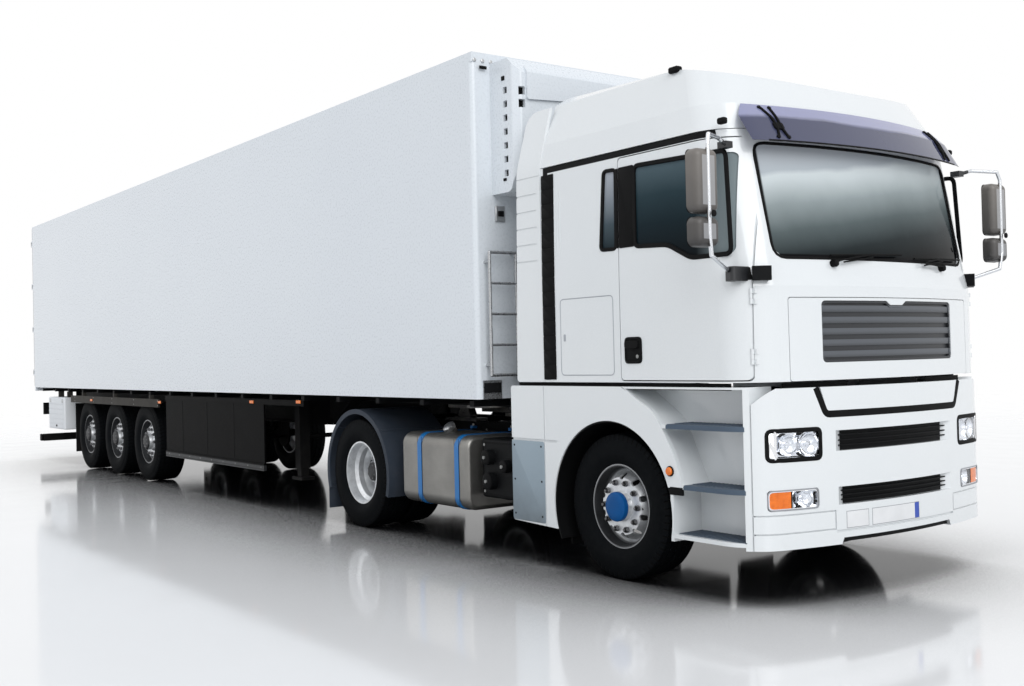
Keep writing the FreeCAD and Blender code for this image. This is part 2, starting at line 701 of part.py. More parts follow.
def make_bumper():
    """The moulded bumper, with lamp pockets, two cooling slots and the step flap's outline."""
    keep = block(BUMPER_REAR_X, 100, -1300, 1300, BUMPER_LOW_Z, BUMPER_TOP_Z)
    shell = bumper_skin(0, BUMPER_WALL).common(keep)
    flap_out = [(-FLAP_LOW_HALF - FLAP_LINE, FLAP_LOW_Z - FLAP_LINE),
                (FLAP_LOW_HALF + FLAP_LINE, FLAP_LOW_Z - FLAP_LINE),
                (FLAP_TOP_HALF + FLAP_LINE, 1400), (-FLAP_TOP_HALF - FLAP_LINE, 1400)]
    flap_in = [(-FLAP_LOW_HALF, FLAP_LOW_Z), (FLAP_LOW_HALF, FLAP_LOW_Z),
               (FLAP_TOP_HALF, 1400), (-FLAP_TOP_HALF, 1400)]
    line = prism_yz(flap_out, -400, 200, [30, 30, 0, 0]).cut(prism_yz(flap_in, -400, 200, [20, 20, 0, 0]))
    groove = bumper_skin(-20, 34).common(line)
    tools = [groove, slot_tool(SLOT_TOP, 0), slot_tool(SLOT_LOW, 0)]
    for lamp in (HEADLAMP, FOG_LAMP):
        tools += [lamp_prism(lamp, 0, 1), lamp_prism(lamp, 0, -1)]
    tools.append(prism_yz([(-600, 300), (600, 300), (560, LIP_TOP_Z), (-560, LIP_TOP_Z)], -400, 200))
    shallow = bumper_skin(-30, 12)
    tools.append(shallow.common(block(-230, 200, -CHIN_HALF_W, CHIN_HALF_W, 422, 436)))
    corner_line = shallow.common(panel_line(rect(CHIN_HALF_W, 1300, 440, 562), 9))
    shoulder = prism_xz([(-300, 1235), (-222, 1240), (-135, 1335), (-300, 1340)], 1000, 1300)
    tools += both_sides(corner_line) + both_sides(shoulder)
    save("front_bumper", shell.cut(tools))

    lamps = []
    for lamp in (HEADLAMP, FOG_LAMP):
        for side in (1, -1):
            lens = bumper_skin(4, BUMPER_WALL).common(lamp_prism(lamp, SEAT_GAP, side))
            lamps.append(lens.common(keep))
    save("front_lamps", *lamps)

    inserts = []
    for slot in (SLOT_TOP, SLOT_LOW):
        back = bumper_skin(BUMPER_WALL - 14, BUMPER_WALL + 4).common(slot_tool(slot, SEAT_GAP))
        slats = []
        low, high, half = slot
        for i in range(1, 4):
            z = low + i * (high - low) / 4
            slats.append(bumper_skin(22, BUMPER_WALL - 12).common(
                block(-400, 200, -half - 60, half + 60, z - 4, z + 4)).common(slot_tool(slot, SEAT_GAP)))
        inserts.append(fuse([back] + slats))
    inserts.append(bumper_skin(26, 34 - SEAT_GAP).common(
        prism_yz(flap_out, -400, 200, [30, 30, 0, 0]).cut(
            prism_yz(flap_in, -400, 200, [20, 20, 0, 0]))).common(keep))
    lip = bumper_skin(18, 40, LIP_TOP_Z - 28, LIP_TOP_Z - SEAT_GAP)
    inserts.append(lip.common(block(-400, 100, -560, 560, 300, 400)))
    save("bumper_grilles", *inserts)


STEP_TREADS = (1098.0, 712.0, 392.0)
STEP_REAR_X = -792.0
STEP_DEPTH = 250.0
STEP_BACK_T = 18.0
FENDER_SKIN = 35.0
ARCH_LIP = 150.0
TREAD_T = 26.0


def make_fender():
    """The right wheel arch with its rear side panel and the three-step entry well."""
    outer_y, skin = -BODY_HALF_W, FENDER_SKIN
    arch = rod((FRONT_AXLE_X, -1300, ARCH_Z), (FRONT_AXLE_X, -900, ARCH_Z), ARCH_R)
    side = [
        (FENDER_REAR_X, 318), (-2060, 300), (-1475, 300), (-905, 330), (-905, 640), (-760, 700),
        (-830, 900), (-1010, 1180), (-1340, FENDER_TOP_Z), (FENDER_REAR_X, FENDER_TOP_Z),
    ]
    plate = prism_xz(side, outer_y, outer_y + skin, [25, 0, 0, 0, 0, 0, 300, 300, 0, 25])
    plate = plate.cut(block(-1475, -905, -1300, -1100, 200, 640))
    band_keep = prism_xz(side, outer_y, -960, [25, 0, 0, 0, 0, 0, 300, 300, 0, 25])
    band = rod((FRONT_AXLE_X, outer_y, ARCH_Z), (FRONT_AXLE_X, outer_y + ARCH_LIP, ARCH_Z), ARCH_R + 22)
    band = band.common(band_keep)
    fender = fuse([plate, band]).cut(arch)
    fender = fender.cut([
        block(FENDER_REAR_X - 1, -2045, outer_y - 1, outer_y + 14, 928, 946),
        block(-2196, -2188, outer_y - 1, outer_y + 8, 200, 1400),
        block(-1475, -700, -1300, -1000, 200, 690),
    ])
    well = [
        (STEP_REAR_X - 200, 1120), (STEP_REAR_X, 700), (STEP_REAR_X - 80, 690),
        (STEP_REAR_X - 80, 345), (-236, 345), (-236, FENDER_TOP_Z), (-1320, FENDER_TOP_Z),
    ]
    back_y = outer_y + STEP_DEPTH
    back = prism_xz(well, back_y, back_y + STEP_BACK_T, [300, 0, 0, 0, 0, 0, 0])
    rear_wall = prism_xz(well, outer_y, back_y + 5, [300, 0, 0, 0, 0, 0, 0]).cut(
        prism_xz([(STEP_REAR_X - 175, 1130), (STEP_REAR_X + 28, 712), (STEP_REAR_X - 54, 655),
                  (STEP_REAR_X - 54, 300), (-268, 300), (-268, FENDER_TOP_Z - 14),
                  (-1290, FENDER_TOP_Z - 14)], outer_y - 10, back_y + 10,
                 [300, 0, 0, 0, 0, 0, 0]))
    treads = []
    for z, rear in zip(STEP_TREADS, (STEP_REAR_X - 150, STEP_REAR_X + 20, STEP_REAR_X - 70)):
        treads.append(block(rear, -250, outer_y, back_y + 5, z - TREAD_T, z))
    steps = fuse([back, rear_wall] + treads)
    steps = steps.common(prism_xz(
        [(-1400, 300), (-230, 300), (-230, FENDER_TOP_Z), (-1400, FENDER_TOP_Z)], -1300, -900))
    steps = steps.cut(arch)
    whole = fuse([fender, steps])
    plan = [(0, BODY_HALF_W, -3000, 280), (0, BODY_HALF_W, -3000, 1400)]
    whole = whole.common(body_loft(plan))
    whole = whole.common(block(-3000, BUMPER_REAR_X - 6, -1300, 0, 280, 1400))
    save("front_fenders", *both_sides(whole))


def ring_sector(x, z, r_out, r_in, y0, y1, start_deg, end_deg):
    """Part of a ring about a line across the vehicle, between two angles above the front horizon."""
    steps = max(2, int(abs(end_deg - start_deg) // 60) + 1)
    reach = r_out * 2.5
    wedge = [(x, z)]
    for i in range(steps + 1):
        a = math.radians(start_deg + (end_deg - start_deg) * i / steps)
        wedge.append((x + reach * math.cos(a), z + reach * math.sin(a)))
    ring = rod((x, y0, z), (x, y1, z), r_out).cut(rod((x, y0, z), (x, y1, z), r_in))
    return ring.common(prism_xz(wedge, y0 - 1, y1 + 1))


LINER_OUT_Y = 1235.0


def make_mudguards():
    """Dark arch liners over the steered wheels, and the drive wheels' mudguards with their flaps."""
    liner = ring_sector(FRONT_AXLE_X, ARCH_Z, ARCH_R - SEAT_GAP, ARCH_R - 10, -1235, -640, 12, 205)
    flap = block(FRONT_AXLE_X - ARCH_R + 1, FRONT_AXLE_X - ARCH_R + 9, -BODY_HALF_W + ARCH_LIP + SEAT_GAP,
                 -700, 170, 480)
    liner = fuse([liner.common(block(-3000, 0, -LINER_OUT_Y, 0, 0, 2000)), flap])
    r_out = 598.0
    guard = ring_sector(DRIVE_AXLE_X, TYRE_R, r_out, r_out - 12, -1252, -575, -18, 198)
    lip = ring_sector(DRIVE_AXLE_X, TYRE_R, r_out, r_out - 45, -1252, -1240, -18, 198)
    rear_flap = block(DRIVE_AXLE_X - r_out + 26, DRIVE_AXLE_X - r_out + 36, -1252, -575, 130, 370)
    stays = [rod((DRIVE_AXLE_X + dx, -1230, TYRE_R + dz),
                 (DRIVE_AXLE_X + dx, -RAIL_Y - SEAT_GAP, TYRE_R + dz), 16)
             for dx, dz in ((430, 405), (-430, 405))]
    guard = fuse([guard, lip, rear_flap] + stays)
    save("mudguards", *(both_sides(liner) + both_sides(guard)))


def tyre(x, y, z, radius, width, bead_w):
    """A tyre of revolution: bead, sidewall, round shoulder and nearly flat tread."""
    half = width / 2
    points = [
        (BEAD_R, -bead_w / 2), (BEAD_R + 20, -bead_w / 2), (radius * 0.78, -half),
        (radius - 30, -half + 8), (radius, -half + 48), (radius, half - 48),
        (radius - 30, half - 8), (radius * 0.78, half), (BEAD_R + 20, bead_w / 2),
        (BEAD_R, bead_w / 2),
    ]
    radii = [0, 0, 120, 30, 30, 30, 30, 120, 0, 0]
    wire = outline([(v, r) for r, v in points], lambda u, v: Vector(0, u, v), radii)
    shape = Part.Face(wire).revolve(Vector(0, 0, 0), Vector(0, 1, 0), 360)
    shape.translate(Vector(x, y, z))
    return shape


def disc_profile(points, x, y, z, side):
    """Revolves a rim's half section, given as (distance outboard of the tyre's middle, radius)."""
    wire = outline([(-side * -d, r) for d, r in points], lambda u, v: Vector(0, u, v))
    shape = Part.Face(wire).revolve(Vector(0, 0, 0), Vector(0, 1, 0), 360)
    shape.translate(Vector(x, y, z))
    return shape


def barrel_points(width):
    """The rim's own section: flanges, bead seats and the drop between them."""
    h, t = width / 2, RIM_SHEET
    seat = BEAD_R - SEAT_GAP
    return [
        (-h, RIM_FLANGE_R), (-h + t, RIM_FLANGE_R), (-h + t, seat), (-h + 75, seat - 4),
        (-h + 100, seat - 34), (h - 100, seat - 34), (h - 75, seat - 4), (h - t, seat),
        (h - t, RIM_FLANGE_R), (h, RIM_FLANGE_R), (h, seat - 8), (h - 78, seat - 16),
        (h - 104, seat - 46), (-h + 104, seat - 46), (-h + 78, seat - 16), (-h, seat - 8),
    ]


def holes_about(x, y, z, count, circle, radius, y0, y1, offset=0.0):
    found = []
    for i in range(count):
        a = math.radians(offset + 360.0 * i / count)
        cx, cz = x + circle * math.cos(a), z + circle * math.sin(a)
        found.append(rod((cx, y + y0, cz), (cx, y + y1, cz), radius))
    return found


def front_rim(x, y, z, width, face, hub_out, hub_in, bore, side):
    """A rim with its disc near the outer flange, domed towards the hub, with the hub behind it."""
    out = width / 2
    barrel = disc_profile(barrel_points(width), x, y, z, side)
    disc = [
        (out - 108, 247), (out - 96, 247), (out - 60, 225), (face, 200), (face, 100), (face - 14, 100),
        (face - 14, 196), (out - 74, 219),
    ]
    cap = disc_profile(disc, x, y, z, side)
    hub = disc_profile([
        (hub_in, bore), (hub_in, 128), (face - 13, 128), (face - 13, 110), (face + 22, 104),
        (hub_out, 96), (hub_out, 0.5), (hub_out - 12, 0.5), (hub_out - 12, bore),
    ], x, y, z, side)
    windows = holes_about(x, y, z, WHEEL_NUTS, 206, 22, side * 20, side * (out + 10), 18)
    wheel = fuse([barrel, cap, hub]).cut(windows)
    nuts = holes_about(x, y, z, WHEEL_NUTS, NUT_CIRCLE_R, 17, side * (face - 8), side * (face + 26))
    return fuse([wheel] + nuts)


def twin_rim(x, y_out, z, side):
    """Two rims back to back on one hub, the outer one deeply dished."""
    mid = y_out - side * TWIN_PITCH / 2
    pieces = []
    for y in (y_out, y_out - side * TWIN_PITCH):
        pieces.append(disc_profile(barrel_points(RIM_W), x, y, z, side))
    off = TWIN_PITCH / 2
    discs = [
        (off - 22, 242), (off - 34, 242), (24, 205), (14, 190), (14, 100), (-14, 100), (-14, 190),
        (-24, 205), (-off + 34, 242), (-off + 22, 242), (-off + 22, 252), (-off + 40, 252),
        (-30, 216), (0, 205), (30, 216), (off - 40, 252), (off - 22, 252),
    ]
    pieces.append(disc_profile(discs, x, mid, z, side))
    hub = disc_profile([
        (-150, 60 + RUNNING), (-150, 200), (-60, 200), (-60, 150), (-20, 150), (-20, 128), (15, 128),
        (40, 118), (150, 112), (165, 90), (165, 0.5), (152, 0.5), (152, 60 + RUNNING),
    ], x, mid, z, side)
    wheel = fuse(pieces + [hub])
    wheel = wheel.cut(holes_about(x, mid, z, 10, 220, 24, -80, 80, 18))
    nuts = holes_about(x, mid, z, WHEEL_NUTS, NUT_CIRCLE_R, 17, side * 8, side * 46)
    return fuse([wheel] + nuts)


SIDES = (("right", -1), ("left", 1))


def make_wheels():
    for name, side in SIDES:
        y = side * FRONT_TRACK / 2
        save("tyre_front_" + name, tyre(FRONT_AXLE_X, y, TYRE_R, TYRE_R, TYRE_W, RIM_W - 2 * RIM_SHEET - 2))
        save("rim_front_" + name,
             front_rim(FRONT_AXLE_X, y, TYRE_R, RIM_W, 112, 165, -40, 45 + RUNNING, side))
        outer = side * DRIVE_OUTER_Y
        twin = [tyre(DRIVE_AXLE_X, yy, TYRE_R, TYRE_R, TYRE_W, RIM_W - 2 * RIM_SHEET - 2)
                for yy in (outer, outer - side * TWIN_PITCH)]
        save("tyre_drive_" + name, *twin)
        save("rim_drive_" + name, twin_rim(DRIVE_AXLE_X, outer, TYRE_R, side))
        for i in range(3):
            x = BOGIE_X + (1 - i) * TRAILER_AXLE_PITCH
            yt = side * TRAILER_TRACK / 2
            save("tyre_trailer_%d_%s" % (i + 1, name),
                 tyre(x, yt, TRAILER_TYRE_R, TRAILER_TYRE_R, TRAILER_TYRE_W,
                      TRAILER_RIM_W - 2 * RIM_SHEET - 2))
            save("rim_trailer_%d_%s" % (i + 1, name),
                 front_rim(x, yt, TRAILER_TYRE_R, TRAILER_RIM_W, 118, 178, -60, 50 + RUNNING, side))


def make_knuckles():
    """Steering knuckles: a fork over the axle's eye, the stub axle, and the steering arm."""
    for name, side in SIDES:
        y = side * KINGPIN_Y
        x, z = FRONT_AXLE_X, TYRE_R
        lugs = [rod((x, y, z + a), (x, y, z + b), 58) for a, b in ((75, 125), (-125, -75))]
        web = block(x - 55, x + 55, y + side * 20, y + side * 62, z - 125, z + 125)
        web = web.cut(rod((x, y, z - 74.7), (x, y, z + 74.7), 62))
        pin = rod((x, y, z - 135), (x, y, z + 135), 24)
        stub_start = y + side * 60
        stub_end = side * (FRONT_TRACK / 2 + 148)
        stub = rod((x, stub_start, z), (x, stub_end, z), 45)
        flange = rod((x, stub_start, z), (x, stub_start + side * 18, z), 105)
        arm = bent_bar([(x, y, z - 110), (x - 90, y, z - 112), (x - 230, y - side * 60, z - 112)], 22)
        save("knuckle_" + name, fuse(lugs + [web, pin, stub, flange, arm]))


def leaf_spring(y, x, z, length, leaves, width, camber):
    """A stack of curved leaves under one rail, shortest at the bottom."""
    parts = []
    for i in range(leaves):
        half = length / 2 * (1 - 0.28 * i)
        t = 18.0
        top = z - i * t
        drop = camber * (half / (length / 2)) ** 2
        arc_top = Part.Arc(Vector(x - half, y, top + drop), Vector(x, y, top),
                           Vector(x + half, y, top + drop)).toShape()
        arc_low = Part.Arc(Vector(x - half, y, top + drop - t), Vector(x, y, top - t),
                           Vector(x + half, y, top + drop - t)).toShape()
        ends = [Part.makeLine(Vector(x + half, y, top + drop), Vector(x + half, y, top + drop - t)),
                Part.makeLine(Vector(x - half, y, top + drop - t), Vector(x - half, y, top + drop))]
        wire = Part.Wire(Part.__sortEdges__([arc_top, ends[0], arc_low, ends[1]]))
        leaf = Part.Face(wire).extrude(Vector(0, width, 0))
        leaf.translate(Vector(0, -width / 2, 0))
        parts.append(leaf)
    return fuse(parts)


def make_front_axle():
    """The forged beam dropped between its ends, with the leaf springs clamped on it."""
    x, z = FRONT_AXLE_X, TYRE_R
    section = [
        (-KINGPIN_Y + 20, z - 45), (-640, z - 45), (-480, z - 130), (480, z - 130), (640, z - 45),
        (KINGPIN_Y - 20, z - 45), (KINGPIN_Y - 20, z + 45), (620, z + 45), (460, z - 40),
        (-460, z - 40), (-620, z + 45), (-KINGPIN_Y + 20, z + 45),
    ]
    beam = prism_yz(section, x - 48, x + 48, [0, 120, 120, 120, 120, 0, 0, 120, 120, 120, 120, 0])
    slots = []
    for sx in (x + 26, x - 49):
        slots.append(prism_yz(rect(-430, 430, z - 108, z - 62), sx, sx + 23, 15))
    beam = beam.cut(slots)
    springs = []
    for side in (-1, 1):
        y = side * 420
        eye = rod((x, side * KINGPIN_Y, z - 74), (x, side * KINGPIN_Y, z + 74), 52)
        bore = rod((x, side * KINGPIN_Y, z - 200), (x, side * KINGPIN_Y, z + 200), 24 + RUNNING)
        beam = beam.fuse(eye).cut(bore)
        pad = block(x - 70, x + 70, y - 40, y + 40, z - 45, z + 4)
        spring = leaf_spring(y, x, z + 40, 1700, 3, 70, 95)
        hanger_z = RAIL_TOP_Z - RAIL_H
        for end in (-1, 1):
            hx = x + end * 835
            springs.append(block(hx - 25, hx + 25, y - 34, y + 34, z + 100, hanger_z - SEAT_GAP))
        springs += [pad, spring]
    save("front_axle", fuse([beam] + springs))


def make_drive_axle():
    """The driven axle's housing with its differential, trailing links and air bellows."""
    x, z = DRIVE_AXLE_X, TYRE_R
    parts = [rod((x, -740, z), (x, 740, z), 78)]
    for side in (-1, 1):
        mid = side * (DRIVE_OUTER_Y - TWIN_PITCH / 2)
        parts.append(rod((x, side * 700, z), (x, mid + side * 145, z), 60))
    bowl = Part.makeSphere(205, Vector(x, 0, z))
    bowl = bowl.common(block(x - 300, x + 300, -170, 170, z - 205, z + 205))
    nose = Part.makeCone(150, 70, 300, Vector(x + 60, 0, z + 10), Vector(1, 0, 0.06))
    parts += [bowl, nose]
    foot_z = z - 118
    rail_low = RAIL_TOP_Z - RAIL_H - SEAT_GAP
    for side in (-1, 1):
        y = side * (RAIL_Y + 10)
        parts.append(block(x - 400, x + 400, y - 38, y + 38, foot_z, foot_z + 48))
        for end in (-1, 1):
            bx = x + end * 310
            parts.append(Part.makeCylinder(78, rail_low - foot_z - 40, Vector(bx, y, foot_z + 40)))
            parts += [Part.makeTorus(72, 24, Vector(bx, y, foot_z + k)) for k in (128, 208)]
    for side in (-1, 1):
        link = rod((x + 30, side * 330, z - 60), (x + 640, side * 380, z + 60), 26)
        parts.append(link)
    save("drive_axle", fuse(parts))


def c_rail(x0, x1, web_y, side, low, high, flange, t):
    """A pressed channel whose web faces outwards."""
    inner = web_y - side * flange
    outer = block(x0, x1, web_y, inner, low, high)
    hollow = block(x0 - 1, x1 + 1, web_y - side * t, inner - side * 1, low + t, high - t)
    return outer.cut(hollow)


def make_tractor_frame():
    """The ladder frame with its cross members, front bracket, deck plate and the tail lamps' bar."""
    low = RAIL_TOP_Z - RAIL_H
    rails = [c_rail(RAIL_REAR_X, RAIL_FRONT_X, s * RAIL_Y, s, low, RAIL_TOP_Z, RAIL_FLANGE, RAIL_T)
             for s in (-1, 1)]
    half = RAIL_Y - RAIL_T / 2
    members = []
    for x in (-470, -3150, -4100, -5600):
        member = block(x - 45, x + 45, -half, half, low + 30, RAIL_TOP_Z - 30)
        hollow = block(x - 36, x + 46, -half + 10, half - 10, low + 39, RAIL_TOP_Z - 39)
        members.append(member.cut(hollow))
    pivots = []
    for s in (-1, 1):
        bracket = prism_xz([(RAIL_FRONT_X - 10, low), (TILT_X - 130, low + 40), (TILT_X + 25, TILT_Z - 50),
                            (TILT_X + 25, TILT_Z + 42), (TILT_X - 45, TILT_Z + 45),
                            (RAIL_FRONT_X - 10, RAIL_TOP_Z)],
                           s * RAIL_Y, s * (RAIL_Y - RAIL_BRACKET_T), [0, 30, 0, 25, 25, 0])
        pivots.append(bracket.cut(rod((TILT_X, s * RAIL_Y - 60, TILT_Z), (TILT_X, s * RAIL_Y + 60, TILT_Z),
                                      TILT_PIN_R + RUNNING)))
    outriggers = []
    strap_seat = TANK_IN_Y - STRAP_T - SEAT_GAP
    well_back = BODY_HALF_W - STEP_DEPTH - STEP_BACK_T - SEAT_GAP
    for s in (-1, 1):
        y0 = s * (RAIL_Y - 2)
        outriggers.append(block(-2540, -2490, y0, s * (BODY_HALF_W - FENDER_SKIN - SEAT_GAP), 760, 810))
        outriggers.append(block(-3100, -3040, y0, s * (CHASSIS_BOX_IN_Y - SEAT_GAP), 760, 840))
        outriggers += [block(x - 30, x + 30, y0, s * strap_seat, 720, 790) for x in STRAP_X]
        outriggers.append(block(RAIL_FRONT_X - 60, -330, y0, s * well_back, 720, 790))
    deck = block(-3950, -3050, -430, 430, RAIL_TOP_Z - 1, RAIL_TOP_Z + 12)
    behind_bumper = body_loft([(0, BODY_HALF_W, -3000, 280), (0, BODY_HALF_W, -3000, 1400)],
                              BUMPER_WALL + SEAT_GAP)
    stub = [block(RAIL_FRONT_X - 20, 0, s * RAIL_Y, s * (RAIL_Y - RAIL_BRACKET_T), 740, 900)
            .common(behind_bumper) for s in (-1, 1)]
    stub += [block(-260, 0, s * 700, s * 660, 780, 860).common(behind_bumper) for s in (-1, 1)]
    cross = block(-260, -210, -700, 700, 780, 860)
    closer = block(RAIL_REAR_X - TAIL_PLATE_T, RAIL_REAR_X, -RAIL_Y, RAIL_Y, low, RAIL_TOP_Z)
    holes = [rod((RAIL_REAR_X - 50, y, TOW_Z + dz), (RAIL_REAR_X + 50, y, TOW_Z + dz), TOW_HOLE_R)
             for y in (-TOW_Y_PITCH / 2, TOW_Y_PITCH / 2) for dz in (-TOW_Z_PITCH / 2, TOW_Z_PITCH / 2)]
    closer = closer.cut(holes)
    tail = [block(RAIL_REAR_X - 40, RAIL_REAR_X + 10, s * (RAIL_Y - 30), s * 820, 720, 800)
            .cut(block(RAIL_REAR_X, RAIL_REAR_X + 50, s * 300, s * (RAIL_Y - 1), 0, 2000)) for s in (-1, 1)]
    save("tractor_frame", fuse(rails + members + pivots + outriggers + [deck, closer, cross] + tail + stub))


def make_driveline():
    """Engine and gearbox as one plain mass, with the propeller shaft to the drive axle."""
    engine = block(-1950, -640, -340, 340, 560, 1290)
    gearbox = block(-2700, -1950, -220, 220, 600, 1000)
    shaft = rod((-2690, 0, 700), (DRIVE_AXLE_X + 372, 0, TYRE_R + 34), 58)
    mounts = [block(-1500, -1400, s * 330, s * (RAIL_Y - RAIL_FLANGE - SEAT_GAP), 700, 790) for s in (-1, 1)]
    save("engine_block", fuse([rounded(engine, 40), gearbox, shaft] + mounts))


def make_fifth_wheel():
    """The coupling plate with its throat and ramps, on two pedestals across the frame."""
    x = KINGPIN_X
    top = FIFTH_WHEEL_Z - SEAT_GAP
    plate = rod((x, 0, top - 42), (x, 0, top), 465)
    plate = plate.common(block(x - 480, x + 470, -440, 440, 0, 2000))
    throat = prism_xy([(x - 700, -240), (x - 90, -52), (x - 90, 52), (x - 700, 240)], 0, 2000)
    hole = rod((x, 0, 0), (x, 0, 2000), 52)
    gap = block(x - 200, x, -52, 52, 0, 2000)
    plate = plate.cut([throat, hole, gap])
    skirt = []
    for s in (-1, 1):
        ear = prism_xz([(x - 120, RAIL_TOP_Z + 28), (x + 120, RAIL_TOP_Z + 28), (x + 60, top - 30),
                        (x - 60, top - 30)], s * 300, s * 380, 20)
        foot = block(x - 260, x + 260, s * 290, s * 425, RAIL_TOP_Z + SEAT_GAP, RAIL_TOP_Z + 30)
        skirt += [ear, foot]
    ribs = [block(x - 20, x + 420, s * 150 - 10, s * 150 + 10, top - 90, top - 30) for s in (-1, 1)]
    save("fifth_wheel", fuse([plate] + skirt + ribs))


TANK_FRONT_X = -3285.0
TANK_REAR_X = -4325.0
TANK_LOW_Z = 305.0
TANK_HIGH_Z = 920.0
TANK_OUT_Y = 1205.0
TANK_IN_Y = 600.0
STRAP_X = (-4020.0, -3440.0)
STRAP_W = 62.0
STRAP_T = 5.0
CHASSIS_BOX_IN_Y = 645.0


def make_tank():
    """The aluminium fuel tank on the right, rounded on every edge, with two strap bands."""
    section = rect(-TANK_OUT_Y, -TANK_IN_Y, TANK_LOW_Z, TANK_HIGH_Z)
    tank = prism_yz(section, TANK_REAR_X, TANK_FRONT_X, 105)
    ends = [e for e in tank.Edges if abs(e.BoundBox.XLength) < 1]
    tank = tank.makeFillet(38, ends)
    neck = rod((-3860, -960, TANK_HIGH_Z - 5), (-3860, -985, TANK_HIGH_Z + 32), 46)
    tank = tank.fuse(neck).removeSplitter()
    straps = []
    for x in STRAP_X:
        t = STRAP_T
        outer = prism_yz(rect(-TANK_OUT_Y - t, -TANK_IN_Y + t, TANK_LOW_Z - t, TANK_HIGH_Z + t),
                         x - STRAP_W / 2, x + STRAP_W / 2, 105 + t)
        inner = prism_yz(rect(-TANK_OUT_Y - SEAT_GAP, -TANK_IN_Y + SEAT_GAP, TANK_LOW_Z - SEAT_GAP,
                              TANK_HIGH_Z + SEAT_GAP), x - 100, x + 100, 105 + SEAT_GAP)
        straps.append(outer.cut(inner))
    save("fuel_tank", tank, *straps)


def make_chassis_boxes():
    """Air and battery boxes behind the cab steps, and the silencer on the left."""
    valve = block(-3190, -2650, -1130, -CHASSIS_BOX_IN_Y, 430, 905)
    valve = rounded(valve, 25)
    pods = [rod((-2900 + dx, -1120, 640 + dz), (-2900 + dx, -1185, 640 + dz), r)
            for dx, dz, r in ((-150, 120, 62), (-130, -70, 70), (90, 60, 52))]
    right = fuse([valve] + pods)
    battery = block(-3190, -2650, CHASSIS_BOX_IN_Y, 1180, 430, 905)
    battery = rounded(battery, 25)
    silencer = prism_yz(rect(TANK_IN_Y - STRAP_T, TANK_OUT_Y - 25, TANK_LOW_Z + 40, TANK_HIGH_Z - 10),
                        TANK_REAR_X, TANK_FRONT_X, 60)
    outlet = rod((TANK_REAR_X + 200, 900, TANK_LOW_Z + 60), (TANK_REAR_X + 200, 900, TANK_LOW_Z), 55)
    save("chassis_boxes", right, battery, fuse([silencer, outlet]))


def i_beam(y, profile, web_t, flange_w, flange_t):
    """A welded beam whose outline in the side view is given from rear-bottom round."""
    web = prism_xz(profile, y - web_t / 2, y + web_t / 2)
    wide = prism_xz(profile, y - flange_w / 2, y + flange_w / 2)
    inner = outline(profile, to_xz).makeOffset2D(-flange_t)
    core = Part.Face(inner)
    core.translate(Vector(0, y - flange_w, 0))
    core = core.extrude(Vector(0, 2 * flange_w, 0))
    return web.fuse(wide.cut(core)).removeSplitter()


def make_trailer_frame():
    """The welded frame: neck and main beams with cross bars through their webs, the coupling plate
    with its kingpin, landing legs, the rear under-run bar and the last axle's flaps."""
    top = BOX_BASE_Z - SEAT_GAP
    rear = PORTAL_FRONT_X + SEAT_GAP
    neck = [
        (NECK_REAR_X, NECK_LOW_Z), (TRAILER_FRONT_X - 60, NECK_LOW_Z), (TRAILER_FRONT_X - 60, top),
        (NECK_REAR_X, top),
    ]
    main_beam = [
        (rear, top - 230), (BOGIE_X - 1900, BEAM_LOW_Z), (BOGIE_X + 2400, BEAM_LOW_Z),
        (NECK_REAR_X - 450, BEAM_LOW_Z + 20), (NECK_REAR_X - SEAT_GAP, NECK_LOW_Z),
        (NECK_REAR_X - SEAT_GAP, top), (rear, top),
    ]
    bar_low, bar_high = OUTRIGGER_LOW_Z, top - BEAM_FLANGE_T - SEAT_GAP
    bars, holes = [], []
    for i in range(CROSS_COUNT):
        x = cross_x(i)
        bars.append(block(x - 30, x + 30, -OUTRIGGER_Y, OUTRIGGER_Y, bar_low, bar_high))
        holes.append(block(x - 30 - SEAT_GAP, x + 30 + SEAT_GAP, -OUTRIGGER_Y, OUTRIGGER_Y,
                           bar_low - SEAT_GAP, bar_high + SEAT_GAP / 2))
    beams = [i_beam(s * BEAM_Y, profile, BEAM_WEB_T, BEAM_FLANGE, BEAM_FLANGE_T).cut(holes)
             for s in (-1, 1) for profile in (neck, main_beam)]
    plate = prism_xy([(-5650, -640), (-5650, 640), (TRAILER_FRONT_X - 40, 640), (TRAILER_FRONT_X - 40, -640)],
                     FIFTH_WHEEL_Z, NECK_LOW_Z - SEAT_GAP, 60)
    pin_top = FIFTH_WHEEL_Z - SEAT_GAP
    pin = fuse([rod((KINGPIN_X, 0, pin_top), (KINGPIN_X, 0, pin_top - 84), 25.4),
                rod((KINGPIN_X, 0, pin_top), (KINGPIN_X, 0, pin_top - 30), 36.5),
                rod((KINGPIN_X, 0, pin_top - 70), (KINGPIN_X, 0, pin_top - 84), 36.5)])
    ends = landing_legs() + [under_run_bar(rear)] + rear_flaps()
    save("trailer_frame", *(beams + bars + [plate, pin] + ends))


def landing_legs():
    """The two wound-down legs with their shoes and mounting plates, and the shaft between them."""
    x, leg_y = LEG_X, 960
    leg = block(x - 60, x + 60, leg_y - 60, leg_y + 60, 420, OUTRIGGER_LOW_Z - SEAT_GAP)
    inner = block(x - 45, x + 45, leg_y - 45, leg_y + 45, 330, 440)
    shoe = block(x - 120, x + 120, leg_y - 75, leg_y + 75, 300, 332)
    gusset = block(x - 8, x + 8, BEAM_Y + BEAM_FLANGE / 2 + SEAT_GAP, leg_y, BEAM_LOW_Z + 22,
                   OUTRIGGER_LOW_Z - SEAT_GAP)
    shaft_end = leg_y - 60 - SEAT_GAP
    shaft = rod((x, -shaft_end, 760), (x, shaft_end, 760), 24)
    return both_sides(fuse([leg, inner, shoe, gusset])) + [shaft]


